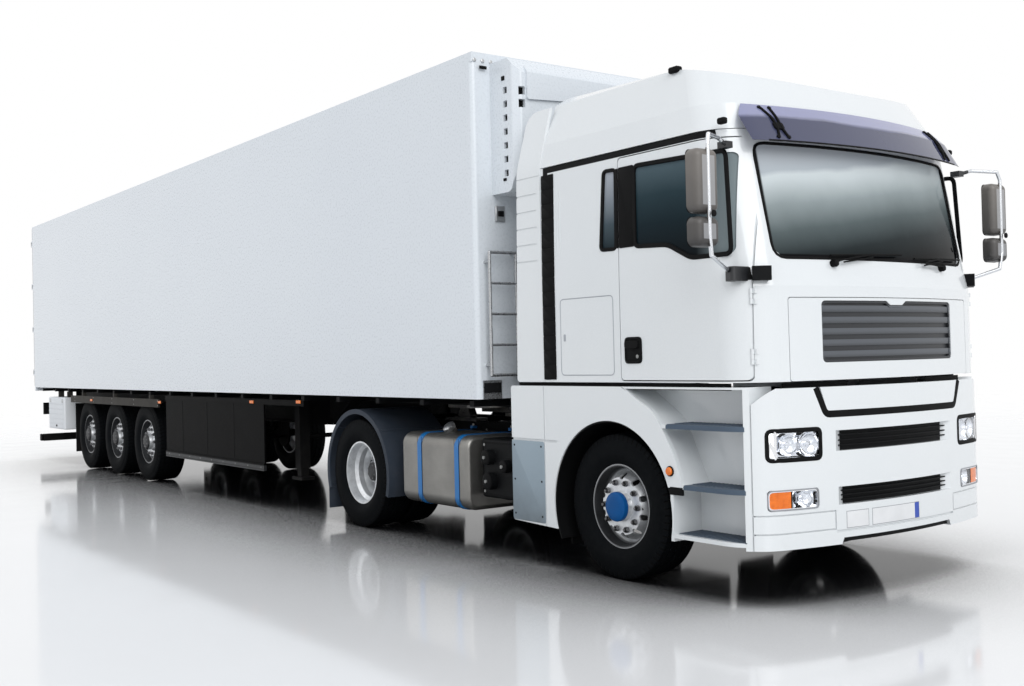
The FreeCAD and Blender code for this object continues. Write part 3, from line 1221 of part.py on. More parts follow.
def under_run_bar(beam_rear):
    """The low bar across the rear on two posts, with the lamp plates beside them."""
    x = TRAILER_REAR_X + 60
    front = beam_rear - SEAT_GAP
    parts = [block(x, front, -1180, 1180, 300, 420)]
    for s in (-1, 1):
        y = s * BEAM_Y
        parts.append(block(x + 30, front, y - 35, y + 35, 360, 1080))
        parts.append(block(front - 20, front + 30, s * 500, s * 1180, 760, 960))
        parts.append(block(front - 20, front + 340, y - 30, y + 30, 890, 950))
    return fuse(parts)


def rear_flaps():
    """The flexible flaps behind the last axle, on brackets off the beams."""
    x = BOGIE_X - TRAILER_AXLE_PITCH - 640
    flap = block(x - 6, x + 6, 850, 1230, 230, 980)
    bracket = block(x - 20, x + 20, BEAM_Y + BEAM_WEB_T / 2 + SEAT_GAP, 1230, 940, 990)
    return both_sides(flap.fuse(bracket).removeSplitter())


def make_trailer_axles():
    """Three axle tubes, each with trailing arms under the beams, hangers and air bellows."""
    axles = []
    for i in range(3):
        x, z = BOGIE_X + (1 - i) * TRAILER_AXLE_PITCH, TRAILER_TYRE_R
        parts = [rod((x, -880, z), (x, 880, z), 64)]
        for s in (-1, 1):
            mid = s * TRAILER_TRACK / 2
            parts.append(rod((x, s * 870, z), (x, mid + s * 155, z), 50))
            y = s * BEAM_Y
            parts.append(rod((x, s * 790, z), (x, s * 815, z), 190))
            arm = prism_xz([(x + 520, z + 30), (x + 520, z + 110), (x + 60, z + 20), (x - 340, z + 30),
                            (x - 340, z - 20), (x + 60, z - 70)], y - 45, y + 45, [30, 30, 0, 0, 0, 0])
            hanger = prism_xz([(x + 430, BEAM_LOW_Z - SEAT_GAP), (x + 590, BEAM_LOW_Z - SEAT_GAP),
                               (x + 560, z + 10), (x + 480, z + 10)], y - 60, y + 60)
            bag = Part.makeCylinder(115, BEAM_LOW_Z - SEAT_GAP - z - 28, Vector(x - 250, y, z + 28))
            rolls = [Part.makeTorus(100, 38, Vector(x - 250, y, z + 90 + k * 85)) for k in range(3)]
            parts += [arm, hanger, bag] + rolls
        axles.append(fuse(parts))
    save("trailer_axles", *axles)


CROSS_PITCH = 760.0
CROSS_COUNT = 18
OUTRIGGER_LOW_Z = BOX_BASE_Z - SEAT_GAP - 60.0
OUTRIGGER_Y = BOX_HALF_W - 15.0


def cross_x(i):
    """Where the trailer's cross members lie, counted from the front."""
    return TRAILER_FRONT_X - 120.0 - i * CROSS_PITCH


GUARD_FRONT_X = -7080.0
GUARD_REAR_X = -10080.0


def make_side_equipment():
    """Side guards with a dark infill and an aluminium lower rail, and the box behind the wheels."""
    parts = []
    post_top = OUTRIGGER_LOW_Z - SEAT_GAP
    for s in (-1, 1):
        out = s * (BOX_HALF_W - 8)
        panel = block(GUARD_REAR_X, GUARD_FRONT_X, out - s * 12, out - s * 30, 470, 1115)
        rail = block(GUARD_REAR_X, GUARD_FRONT_X, out, out - s * 32, 395, 472)
        posts = [block(cross_x(i) - 30, cross_x(i) + 30, out - s * 29, out - s * 75, 400, post_top)
                 for i in (6, 7, 8, 9)]
        head = block(GUARD_REAR_X, cross_x(4) + 30, out, out - s * 40, 1112, post_top)
        hangers = [block(cross_x(i) - 30, cross_x(i) + 30, out, out - s * 75, 1110, post_top) for i in (4, 5)]
        parts.append(fuse([panel, rail, head] + posts + hangers))
        rear_rail = block(-14330, -10360, out, out - s * 30, 1010, 1117)
        rail_posts = [block(cross_x(i) - 25, cross_x(i) + 25, out - s * 4, out - s * 55, 1025, post_top)
                      for i in (10, 12, 14)]
        parts.append(fuse([rear_rail] + rail_posts))
        box = rounded(block(-15640, -14700, out - s * 2, out - s * 480, 560, 1075), 20)
        grooves = [block(-15600, -14740, out, out - s * 8, z, z + 10) for z in (640, 720, 800, 880, 960)]
        hanger = [block(x - 25, x + 25, out - s * 60, out - s * 140, 1060, post_top)
                  for x in (cross_x(16), cross_x(15) - 260)]
        parts.append(fuse([box.cut(grooves)] + hanger))
    save("side_equipment", *parts)


LADDER_Y = (-1215.0, -955.0)


def make_box():
    """The insulated body: floor, front wall, two side walls, roof with edge rails, rear portal."""
    front, rear = TRAILER_FRONT_X, PORTAL_FRONT_X
    w = BOX_HALF_W
    floor = block(rear, front - FRONT_WALL_T, -w + SIDE_WALL_T, w - SIDE_WALL_T, BOX_BASE_Z,
                  BOX_BASE_Z + FLOOR_T)
    save("box_floor", floor)
    top = BOX_TOP_Z - ROOF_T
    wall = prism_xy([(front - FRONT_WALL_T, -w), (front, -w), (front, w), (front - FRONT_WALL_T, w)],
                    BOX_BASE_Z, top, [0, 40, 40, 0])
    rungs = []
    y0, y1 = LADDER_Y
    x = front + 70
    rungs.append(bent_bar([(front - 5, y1, 2395), (x, y1, 2395), (x, y0, 2395), (x, y0, 1420), (x, y1, 1420),
                           (front - 5, y1, 1420)], 13))
    rungs.append(rod((x, y1, 2395), (x, y1, 1420), 13))
    rungs += [rod((x, y0, z), (x, y1, z), 11) for z in (1660, 1905, 2150)]
    rungs += [rod((front - 5, y0, z), (x, y0, z), 11) for z in (1500, 2320)]
    plinth = [block(front - 10, front + 14, s * (w - 40), s * (w - 220), BOX_BASE_Z, BOX_BASE_Z + 150)
              for s in (-1, 1)]
    save("box_front_wall", fuse([wall] + rungs + plinth))
    side_wall = block(rear, front - FRONT_WALL_T, -w, -w + SIDE_WALL_T, BOX_BASE_Z, top)
    save("box_side_walls", *both_sides(side_wall))
    roof = block(rear, front, -w + 8, w - 8, top, BOX_TOP_Z)
    edge = [block(rear, front, s * w, s * (w - 30), top, BOX_TOP_Z - 6) for s in (-1, 1)]
    save("box_roof", fuse([roof] + edge))
    portal = block(LOAD_REAR_X, rear, -w, w, BOX_BASE_Z - 60, BOX_TOP_Z)
    opening = block(LOAD_REAR_X - 1, rear + 1, -w + 62, w - 62, BOX_BASE_Z + FLOOR_T, top)
    lamps = both_sides(block(LOAD_REAR_X - 50, LOAD_REAR_X + 1, w - 520, w - 80, BOX_BASE_Z - 55, BOX_BASE_Z - 5))
    lugs = []
    for s in (-1, 1):
        for z in hinge_heights():
            for low in (z - 50, z + 30):
                plate = block(HINGE_X, LOAD_REAR_X + 1, s * (w - 14), s * w, low, low + 20)
                ear = rod((HINGE_X, s * HINGE_Y, low), (HINGE_X, s * HINGE_Y, low + 20), 12)
                lugs += [plate, ear]
            lugs.append(rod((HINGE_X, s * HINGE_Y, z - 50), (HINGE_X, s * HINGE_Y, z + 50), HINGE_PIN_R))
    save("rear_frame", fuse([portal.cut(opening)] + lamps + lugs))


HINGE_Y = BOX_HALF_W - 12.0
HINGE_X = DOOR_FACE_X - 20.0
HINGE_PIN_R = 6.0


def hinge_heights():
    """The heights of the rear doors' four hinges."""
    low, high = BOX_BASE_Z + 256, BOX_TOP_Z - 292
    return [low + i * (high - low) / 3 for i in range(4)]


def make_rear_doors():
    """Two full-height doors, each with two locking bars and four hinge straps."""
    z0, z1 = BOX_BASE_Z + 6, BOX_TOP_Z - 12
    x0, x1 = DOOR_FACE_X, LOAD_REAR_X - SEAT_GAP
    for name, s in SIDES:
        leaf = block(x0, x1, s * 7, s * (HINGE_Y - 6), z0, z1)
        parts = [leaf]
        for y in (330, 820):
            parts.append(rod((x0 - 12, s * y, z0 + 30), (x0 - 12, s * y, z1 - 40), 13))
            for z in (z0 + 60, z0 + 900, z0 + 1800, z1 - 80):
                parts.append(block(x0 - 24, x0 + 2, s * y - 32, s * y + 32, z - 24, z + 24))
            parts.append(block(TRAILER_REAR_X - REAR_HARDWARE, x0 - 15, s * y, s * (y - 260),
                               z0 + 880, z0 + 912))
        for z in hinge_heights():
            strap = block(x0 - 10, x0 + 2, s * (BOX_HALF_W - 300), s * HINGE_Y, z - 28, z + 28)
            barrel = rod((HINGE_X, s * HINGE_Y, z - 28), (HINGE_X, s * HINGE_Y, z + 28), 12)
            neck = block(HINGE_X, x0, s * (HINGE_Y - 34), s * (HINGE_Y - 6), z - 28, z + 28)
            bridge = block(HINGE_X - 10, x0 - 2, s * (HINGE_Y - 34), s * HINGE_Y, z - 28, z + 28)
            bore = rod((HINGE_X, s * HINGE_Y, z - 40), (HINGE_X, s * HINGE_Y, z + 40), HINGE_PIN_R + RUNNING)
            parts.append(fuse([strap, barrel, neck, bridge]).cut(bore))
        save("rear_door_" + name, fuse(parts))


UNIT_FRONT_X = -2612.0
UNIT_HALF_W = 1120.0
UNIT_TOP_Z = 3915.0
UNIT_LOW_Z = 2860.0
UNIT_COWL_T = 22.0
VENT_SIZE = 52.0
SIDE_VENT_X = -2786.0
SIDE_VENT_LOW_Z = 2985.0
SIDE_VENT_PITCH = 109.0
FRONT_VENT_Y = -1058.0
FRONT_VENT_Z = (3510.0, 3610.0)


def unit_body(grow):
    """The unit's cover, larger by a given amount at the front only."""
    back, front, half = TRAILER_FRONT_X + SEAT_GAP, UNIT_FRONT_X + grow, UNIT_HALF_W
    plan = [(back, -half), (front - 60, -half), (front, -half + 50), (front, half - 50), (front - 60, half),
            (back, half)]
    body = prism_xy(plan, UNIT_LOW_Z, UNIT_TOP_Z, [0, 28, 28, 28, 28, 0])
    side = [(back, UNIT_LOW_Z), (front - 90, UNIT_LOW_Z), (front + 10, UNIT_LOW_Z + 260),
            (front + 10, UNIT_TOP_Z - 130), (front - 110, UNIT_TOP_Z), (back, UNIT_TOP_Z)]
    return body.common(prism_xz(side, -1200, 1200, [0, 60, 120, 120, 60, 0]))


def make_cooling_unit():
    """The refrigeration unit high on the front wall: a raised cowl over its fans, vent columns down
    its corners and an intake grille below."""
    cowl_edge = [(-1025, 3575), (-560, 3600), (-60, 3725), (60, 3725), (560, 3600), (1025, 3575),
                 (1025, UNIT_TOP_Z - 60), (-1025, UNIT_TOP_Z - 60)]
    cowl_mask = prism_yz(cowl_edge, -2960, -2500, [20, 200, 100, 100, 200, 20, 40, 40])
    cowl = unit_body(UNIT_COWL_T).common(cowl_mask)
    body = unit_body(0).fuse(cowl.common(block(-2900, -2500, -1100, 1100, 3500, 4000))).removeSplitter()
    vents = []
    half = VENT_SIZE / 2
    for s in (-1, 1):
        side_y = s * UNIT_HALF_W
        for i in range(7):
            z = SIDE_VENT_LOW_Z + i * SIDE_VENT_PITCH
            vents.append(block(SIDE_VENT_X, SIDE_VENT_X + VENT_SIZE, side_y + s * 20, side_y - s * 30,
                               z, z + VENT_SIZE))
        front_y = s * FRONT_VENT_Y
        vents += [block(UNIT_FRONT_X + 20, UNIT_FRONT_X - 40, front_y - half, front_y + half,
                        z, z + VENT_SIZE + 12) for z in FRONT_VENT_Z]
    vents += [block(UNIT_FRONT_X + 20, UNIT_FRONT_X - 22, -640, 640, z, z + 35)
              for z in (3180, 3242, 3304, 3366, 3428, 3490)]
    save("cooling_unit", body.cut(vents))


def main():
    make_cab()
    make_roof()
    make_deflectors()
    save("sun_visor", make_visor())
    mirror = make_mirror()
    save("mirror_right", mirror)
    save("mirror_left", mirrored(mirror))
    make_interior()
    make_bumper()
    make_fender()
    make_mudguards()
    make_wheels()
    make_knuckles()
    make_front_axle()
    make_drive_axle()
    make_tractor_frame()
    make_driveline()
    make_fifth_wheel()
    make_tank()
    make_chassis_boxes()
    make_trailer_frame()
    make_trailer_axles()
    make_side_equipment()
    make_box()
    make_rear_doors()
    make_cooling_unit()


main()
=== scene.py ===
import math

import bmesh
import bpy
from mathutils import Matrix, Vector


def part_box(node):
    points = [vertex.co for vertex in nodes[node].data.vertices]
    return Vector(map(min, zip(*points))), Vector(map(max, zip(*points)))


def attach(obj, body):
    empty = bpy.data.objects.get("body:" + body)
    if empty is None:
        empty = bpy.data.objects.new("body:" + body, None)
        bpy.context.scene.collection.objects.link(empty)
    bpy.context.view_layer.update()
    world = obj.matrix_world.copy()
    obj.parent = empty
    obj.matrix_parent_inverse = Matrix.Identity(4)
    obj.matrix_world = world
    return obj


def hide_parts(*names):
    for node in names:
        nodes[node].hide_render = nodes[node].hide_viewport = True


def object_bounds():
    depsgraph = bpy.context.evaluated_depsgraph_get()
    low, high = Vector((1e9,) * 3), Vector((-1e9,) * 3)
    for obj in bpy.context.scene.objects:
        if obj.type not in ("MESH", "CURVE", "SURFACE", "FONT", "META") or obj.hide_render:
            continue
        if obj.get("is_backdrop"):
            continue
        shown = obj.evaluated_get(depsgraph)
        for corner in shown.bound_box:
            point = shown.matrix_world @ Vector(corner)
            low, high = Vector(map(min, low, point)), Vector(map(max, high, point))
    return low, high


# The tractor's ladder frame: two pressed steel channels with cross members, bolted and hot riveted,
# dipped and sprayed with dark satin chassis paint that road film dulls towards the wheels. A ribbed
# steel deck lies on it behind the cab, and its tail carries the rear lamps.
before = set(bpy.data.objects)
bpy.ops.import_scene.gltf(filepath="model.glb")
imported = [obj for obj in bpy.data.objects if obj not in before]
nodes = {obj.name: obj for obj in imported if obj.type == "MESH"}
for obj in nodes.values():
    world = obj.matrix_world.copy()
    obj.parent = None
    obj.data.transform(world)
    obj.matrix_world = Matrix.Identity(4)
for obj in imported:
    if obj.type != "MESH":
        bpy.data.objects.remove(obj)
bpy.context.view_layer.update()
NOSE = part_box("front_bumper")[1][0]
SIDES = (("right", -1), ("left", 1))
SHARP_EDGE = math.radians(38)
STEEL_BLACK = (0.005, 0.0053, 0.006, 1)
ROAD_FILM = (0.016, 0.0155, 0.0145, 1)
DECK_REAR, DECK_FRONT, DECK_HALF, DECK_TOP = -3.94, -3.06, 0.42, 0.9855
RIB_ROWS, RIBS_IN_ROW, RIB_STEP = 22, 10, 0.04
CHANNEL_FACE = 0.430


def at(x, y, z):
    """A point of the lorry: x metres ahead of the bumper's face, negative to the rear."""
    return Vector((NOSE + x, y, z))


def new_finish(name):
    """An empty finish whose patterns follow the piece's own coordinates, in metres."""
    finish = bpy.data.materials.new(name)
    finish.use_nodes = True
    tree = finish.node_tree
    shader = tree.nodes["Principled BSDF"]
    place = tree.nodes.new("ShaderNodeTexCoord")
    return finish, tree, shader, place.outputs["Object"]


def feed(tree, shader, key, value):
    """Lets a pattern drive one value of a finish."""
    tree.links.new(value, shader.inputs[key])


def speckle(tree, place, size, stretch=(1, 1, 1), detail=4.0):
    """A noise whose patches are about size metres across, longer along a small stretch."""
    mapping = tree.nodes.new("ShaderNodeMapping")
    mapping.inputs["Scale"].default_value = stretch
    tree.links.new(place, mapping.inputs["Vector"])
    noise = tree.nodes.new("ShaderNodeTexNoise")
    noise.inputs["Scale"].default_value = 1 / size
    noise.inputs["Detail"].default_value = detail
    tree.links.new(mapping.outputs["Vector"], noise.inputs["Vector"])
    return noise.outputs["Fac"]


def spread(tree, value, low, high, start=0.3, end=0.7):
    """Turns a value that runs from start to end, as a noise does by default, into low to high."""
    span = tree.nodes.new("ShaderNodeMapRange")
    for key, number in (("From Min", start), ("From Max", end), ("To Min", low), ("To Max", high)):
        span.inputs[key].default_value = number
    tree.links.new(value, span.inputs["Value"])
    return span.outputs["Result"]


def blend_colours(tree, factor, first, second):
    """A colour between two, each a plain colour or a socket."""
    mix = tree.nodes.new("ShaderNodeMix")
    mix.data_type = "RGBA"
    tree.links.new(factor, mix.inputs["Factor"])
    for key, colour in (("A", first), ("B", second)):
        socket = [s for s in mix.inputs if s.name == key and s.type == "RGBA"][0]
        if isinstance(colour, tuple):
            socket.default_value = colour
        else:
            tree.links.new(colour, socket)
    return [s for s in mix.outputs if s.type == "RGBA"][0]


def combine(tree, operation, first, second):
    """One number from two, each a plain number or a socket."""
    math_node = tree.nodes.new("ShaderNodeMath")
    math_node.operation = operation
    for index, value in enumerate((first, second)):
        if isinstance(value, (int, float)):
            math_node.inputs[index].default_value = value
        else:
            tree.links.new(value, math_node.inputs[index])
    return math_node.outputs[0]


def axes_of(tree, place):
    """The three coordinates of a place."""
    split = tree.nodes.new("ShaderNodeSeparateXYZ")
    tree.links.new(place, split.inputs["Vector"])
    return split.outputs["X"], split.outputs["Y"], split.outputs["Z"]


def within(tree, value, low, high, soft=0.002):
    """1 where a coordinate lies between two values, else 0."""
    rise = spread(tree, value, 0.0, 1.0, low - soft, low + soft)
    fall = spread(tree, value, 1.0, 0.0, high - soft, high + soft)
    return combine(tree, "MULTIPLY", rise, fall)


def dimples(tree, shader, value, depth, strength):
    """Raises the surface by a pattern, depth in metres."""
    bump = tree.nodes.new("ShaderNodeBump")
    bump.inputs["Distance"].default_value = depth
    bump.inputs["Strength"].default_value = strength
    tree.links.new(value, bump.inputs["Height"])
    feed(tree, shader, "Normal", bump.outputs["Normal"])


def sprayed(name, colour, drift, rough, grain, depth, patch=0.6, metal=0.0, lacquer=0.0,
            stretch=(1, 1, 1), glow=0.5):
    """A coated surface: its colour drifts in patches, and a fine grain of a size and depth in metres
    breaks up the sheen between two roughnesses."""
    finish, tree, shader, place = new_finish(name)
    cloud = spread(tree, speckle(tree, place, patch, stretch), 0.0, 1.0)
    feed(tree, shader, "Base Color", blend_colours(tree, cloud, colour, drift))
    fine = speckle(tree, place, grain, stretch, 3.0)
    feed(tree, shader, "Roughness", spread(tree, fine, rough[0], rough[1]))
    dimples(tree, shader, fine, depth, 0.4)
    shader.inputs["Metallic"].default_value = metal
    shader.inputs["Specular IOR Level"].default_value = glow
    shader.inputs["Coat Weight"].default_value = lacquer
    shader.inputs["Coat Roughness"].default_value = 0.06
    return finish


def filmed(name, colour, film, low, high, rough=(0.45, 0.62), grain=0.012, metal=0.0, glow=0.06):
    """A painted surface that carries more road film the lower it is, from height high down to low."""
    finish, tree, shader, place = new_finish(name)
    height = spread(tree, axes_of(tree, place)[2], 0.75, 0.08, low, high)
    patches = combine(tree, "MULTIPLY", height, spread(tree, speckle(tree, place, 0.12), 0.35, 1.0))
    feed(tree, shader, "Base Color", blend_colours(tree, patches, colour, film))
    fine = speckle(tree, place, grain, (1, 1, 1), 3.0)
    feed(tree, shader, "Roughness", spread(tree, fine, rough[0], rough[1]))
    dimples(tree, shader, fine, 0.0012, 0.5)
    shader.inputs["Metallic"].default_value = metal
    shader.inputs["Specular IOR Level"].default_value = glow
    return finish


def paint_node(name, finish):
    """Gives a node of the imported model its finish."""
    for slot in nodes[name].material_slots:
        slot.material = finish


class Form:
    """The faces of one piece, built from rounded blocks, turned profiles, tubes and bands, each in a
    finish of its own."""

    def __init__(self):
        self.mesh = bmesh.new()
        self.finishes = []

    def take(self, points, faces, finish):
        """Adds faces, each a list of numbers of points."""
        if finish not in self.finishes:
            self.finishes.append(finish)
        corners = [self.mesh.verts.new(p) for p in points]
        for face in faces:
            made = self.mesh.faces.new([corners[i] for i in face])
            made.material_index = self.finishes.index(finish)
            made.smooth = True

    def block(self, low, high, finish, edge=0.004):
        """A block between two corners, its edges broken."""
        low, high = [Vector([pick(a, b) for a, b in zip(low, high)]) for pick in (min, max)]
        centre, half = (low + high) / 2, (high - low) / 2
        edge = min(edge, min(half) * 0.49)
        signs = [(sx, sy, sz) for sx in (-1, 1) for sy in (-1, 1) for sz in (-1, 1)]
        points, index = [], {}
        for s in signs:
            for axis in range(3):
                index[s, axis] = len(points)
                drawn = [half[k] - (0 if k == axis else edge) for k in range(3)]
                points.append(centre + Vector([s[k] * drawn[k] for k in range(3)]))
        faces = [[index[s, axis] for axis in range(3)] for s in signs]
        for axis in range(3):
            u, v = [k for k in range(3) if k != axis]
            for side in (-1, 1):
                loop = []
                for su, sv in ((-1, -1), (1, -1), (1, 1), (-1, 1)):
                    s = [0, 0, 0]
                    s[axis], s[u], s[v] = side, su, sv
                    loop.append(index[tuple(s), axis])
                faces.append(loop)
            for su in (-1, 1):
                for sv in (-1, 1):
                    ends = []
                    for side in (-1, 1):
                        s = [0, 0, 0]
                        s[axis], s[u], s[v] = side, su, sv
                        ends.append(tuple(s))
                    faces.append([index[ends[0], u], index[ends[0], v], index[ends[1], v],
                                  index[ends[1], u]])
        self.take(points, faces, finish)

    def turned(self, centre, axis, profile, finish, steps=32):
        """A profile of (distance along the axis, radius) turned about it."""
        axis = Vector(axis).normalized()
        side = axis.orthogonal().normalized()
        other = axis.cross(side)
        points = []
        for along, radius in profile:
            middle = Vector(centre) + axis * along
            points += [middle + side * u + other * v for u, v in circle(radius, steps)]
        faces = woven(len(profile), steps, False)
        faces.append(list(range(steps)))
        faces.append([(len(profile) - 1) * steps + k for k in range(steps)])
        self.take(points, faces, finish)

    def ring(self, centre, profile, finish, steps=32):
        """A closed section of (distance across, radius) turned about a line across the lorry."""
        points = []
        for across, radius in profile:
            points += [Vector(centre) + Vector((u, across, v)) for u, v in circle(radius, steps)]
        self.take(points, woven(len(profile), steps, True), finish)

    def tube(self, points, radius, finish, sides=10):
        """A round tube through points, its bends eased."""
        line = eased([Vector(p) for p in points])
        up = (line[1] - line[0]).orthogonal().normalized()
        self.swept(line, [up] * len(line), circle(radius, sides), finish, False)

    def band(self, line, outs, width, height, finish, closed=True):
        """A flat band along a line on a surface, standing out from it by its height."""
        w, h = width / 2, height
        section = [(-w, -0.001), (-w, h * 0.6), (-w * 0.7, h), (w * 0.7, h), (w, h * 0.6), (w, -0.001)]
        self.swept(line, outs, section, finish, closed)

    def swept(self, line, outs, section, finish, closed):
        """A section of (across, out) carried along a line."""
        count, sides, points = len(line), len(section), []
        up = outs[0]
        for i in range(count):
            before = line[i - 1] if closed or i else line[i]
            after = line[(i + 1) % count] if closed or i < count - 1 else line[i]
            run = (after - before).normalized()
            up = outs[i] if len(set(map(tuple, outs))) > 1 else up
            up = (up - run * up.dot(run)).normalized()
            across = run.cross(up)
            points += [line[i] + across * a + up * b for a, b in section]
        faces = woven(count, sides, closed)
        if not closed:
            faces += [list(range(sides)), [(count - 1) * sides + k for k in range(sides)]]
        self.take(points, faces, finish)

    def patch(self, surface, u0, u1, v0, v1, base, height, finish, step=0.06):
        """A sheet laid over part of a surface, between two distances from it."""
        nu = max(1, round(abs(u1 - u0) / step))
        nv = max(1, round(abs(v1 - v0) / step))
        points = []
        for out in (base, base + height):
            for i in range(nu + 1):
                u = u0 + (u1 - u0) * i / nu
                points += [surface(u, v0 + (v1 - v0) * j / nv, out) for j in range(nv + 1)]
        row, layer = nv + 1, (nu + 1) * (nv + 1)
        faces = []
        for i in range(nu):
            for j in range(nv):
                a = i * row + j
                faces += [[a, a + 1, a + row + 1, a + row],
                          [layer + a, layer + a + row, layer + a + row + 1, layer + a + 1]]
        rim = [i * row for i in range(nu)] + [nu * row + j for j in range(nv)]
        rim += [i * row + nv for i in range(nu, 0, -1)] + [j for j in range(nv, 0, -1)]
        faces += [[a, b, layer + b, layer + a] for a, b in zip(rim, rim[1:] + rim[:1])]
        self.take(points, faces, finish)

    def slab(self, surface, corners, radius, base, height, finish):
        """A flat plate with rounded corners on a surface, its outer edge broken."""
        line = traced(corners, radius, True, 10.0)
        middle = sum(line, Vector((0, 0))) / len(line)
        points, count = [], len(line)
        inset = 1 - min(0.035, 0.5 * height / max((p - middle).length for p in line))
        for out, grow in ((base, 1.0), (base + height * 0.7, 1.0), (base + height, inset)):
            points += [surface(*(middle + (p - middle) * grow), out) for p in line]
        ends = [list(range(count)), [2 * count + k for k in range(count)]]
        self.take(points, woven(3, count, False) + ends, finish)

    def trim(self, surface, corners, radius, width, height, finish, base=0.0, closed=True):
        """A band round an outline on a surface."""
        line = traced(corners, radius, closed)
        spots = [surface(u, v, base) for u, v in line]
        outs = [(surface(u, v, base + 0.01) - spot).normalized() for (u, v), spot in zip(line, spots)]
        self.band(spots, outs, width, height, finish, closed)

    def finished(self, name):
        """The mesh of the faces, closed outwards, with its finishes."""
        bmesh.ops.recalc_face_normals(self.mesh, faces=self.mesh.faces)
        mesh = bpy.data.meshes.new(name)
        self.mesh.to_mesh(mesh)
        self.mesh.free()
        for finish in self.finishes:
            mesh.materials.append(finish)
        mesh.set_sharp_from_angle(angle=SHARP_EDGE)
        return mesh

    def show(self, name, body, slot, replaces=()):
        """Puts the piece in the scene, riding a body."""
        return place_mesh(name, self.finished(name), body, replaces)


def place_mesh(name, mesh, body, replaces=(), spot=(0, 0, 0)):
    """Shows a mesh as a piece of the object."""
    piece = bpy.data.objects.new(name, mesh)
    piece.location = spot
    bpy.context.scene.collection.objects.link(piece)
    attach(piece, body)
    if replaces:
        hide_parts(*replaces)
    return piece


def circle(radius, steps, start=0.0):
    """Points round a circle, in two directions, the first one a part of a step on."""
    turns = [math.tau * (k + start) / steps for k in range(steps)]
    return [(math.cos(turn) * radius, math.sin(turn) * radius) for turn in turns]


def woven(rows, count, closed):
    """The faces between rows of points that each close on themselves."""
    faces = []
    for i in range(rows if closed else rows - 1):
        n = (i + 1) % rows
        faces += [[i * count + k, i * count + (k + 1) % count, n * count + (k + 1) % count, n * count + k]
                  for k in range(count)]
    return faces


def eased(points, turns=5):
    """A line with each inner corner rounded off."""
    line = [points[0]]
    for before, corner, after in zip(points, points[1:], points[2:]):
        start = corner + (before - corner) * min(0.4, 0.05 / (before - corner).length)
        end = corner + (after - corner) * min(0.4, 0.05 / (after - corner).length)
        for k in range(turns + 1):
            t = k / turns
            line.append(start.lerp(corner, t).lerp(corner.lerp(end, t), t))
    return line + [points[-1]]


def traced(corners, radius, closed=True, step=0.08):
    """Points along an outline in two directions, its corners rounded and its long runs divided."""
    count, line = len(corners), []
    for i in range(count):
        corner = Vector(corners[i])
        before, after = Vector(corners[i - 1]), Vector(corners[(i + 1) % count])
        if not closed and i in (0, count - 1):
            bend = [corner]
        else:
            start = corner + (before - corner).normalized() * radius
            end = corner + (after - corner).normalized() * radius
            bend = [start.lerp(corner, t).lerp(corner.lerp(end, t), t) for t in (0, 0.25, 0.5, 0.75, 1)]
            if radius == 0:
                bend = [corner]
        if line:
            parts = int((bend[0] - line[-1]).length / step)
            line += [line[-1].lerp(bend[0], k / (parts + 1)) for k in range(1, parts + 1)]
        line += bend
    if closed:
        parts = int((line[0] - line[-1]).length / step)
        line += [line[-1].lerp(line[0], k / (parts + 1)) for k in range(1, parts + 1)]
    return line


def rectangle(u0, u1, v0, v1):
    """The corners of an upright rectangle."""
    return [(u0, v0), (u1, v0), (u1, v1), (u0, v1)]


def disc(radius, depth, dome=0.3, base=0.0):
    """The turned profile of a shallow domed button."""
    return [(base, radius), (base + depth * (1 - dome), radius), (base + depth * 0.9, radius * 0.86),
            (base + depth, radius * 0.45), (base + depth, 0.0005)]


chassis_paint = filmed("chassis_paint", STEEL_BLACK, ROAD_FILM, low=0.3, high=1.2)
paint_node("tractor_frame", chassis_paint)
zinc = sprayed("zinc_plate", (0.32, 0.33, 0.33, 1), (0.24, 0.24, 0.23, 1), rough=(0.35, 0.6),
               grain=0.004, depth=0.0003, patch=0.05, metal=0.8)
tail_red = sprayed("tail_red", (0.42, 0.012, 0.01, 1), (0.34, 0.01, 0.01, 1), rough=(0.08, 0.16),
                   grain=0.004, depth=0.0003, patch=0.05)
amber = sprayed("amber_lens", (0.85, 0.20, 0.015, 1), (0.72, 0.15, 0.01, 1), rough=(0.08, 0.16),
                grain=0.004, depth=0.0003, patch=0.03)
ribbed_steel = filmed("ribbed_steel", (0.10, 0.102, 0.105, 1), ROAD_FILM, low=0.3, high=1.2,
                      rough=(0.35, 0.55), grain=0.008, metal=0.6)
rubber_black = sprayed("moulded_rubber", (0.004, 0.0042, 0.0046, 1), (0.007, 0.007, 0.0072, 1),
                       rough=(0.5, 0.7), grain=0.003, depth=0.0003, patch=0.2, glow=0.08)
deck = Form()
deck.block(at(DECK_REAR, -DECK_HALF, 0.982), at(DECK_FRONT, DECK_HALF, DECK_TOP), ribbed_steel, 0.001)
for row in range(RIB_ROWS):
    for column in range(RIBS_IN_ROW):
        stagger = 0.021 if row % 2 else 0
        x, y = DECK_REAR + 0.02 + row * RIB_STEP, -0.38 + column * 0.084 + stagger
        deck.block(at(x, y, 0.985), at(x + 0.022, y + 0.006, 0.9875), ribbed_steel, 0.001)
for x in (-3.90, -3.50, -3.10):
    for side in (-1, 1):
        deck.turned(at(x, side * 0.405, DECK_TOP), (0, 0, 1), disc(0.011, 0.008), zinc, 6)
for side in (-1, 1):
    for x in (-5.60, -4.10, -3.15):
        for z in (0.76, 0.83, 0.90):
            deck.turned(at(x, side * CHANNEL_FACE, z), (0, side, 0), disc(0.013, 0.012), zinc, 6)
    # The tail lamp, in a moulded holder.
    deck.block(at(-5.992, side * 0.56, 0.715), at(-5.962, side * 0.81, 0.805), rubber_black, 0.008)
    for y0, y1, lens in ((0.57, 0.65, amber), (0.66, 0.80, tail_red)):
        deck.block(at(-5.996, side * y0, 0.725), at(-5.990, side * y1, 0.795), lens, 0.006)
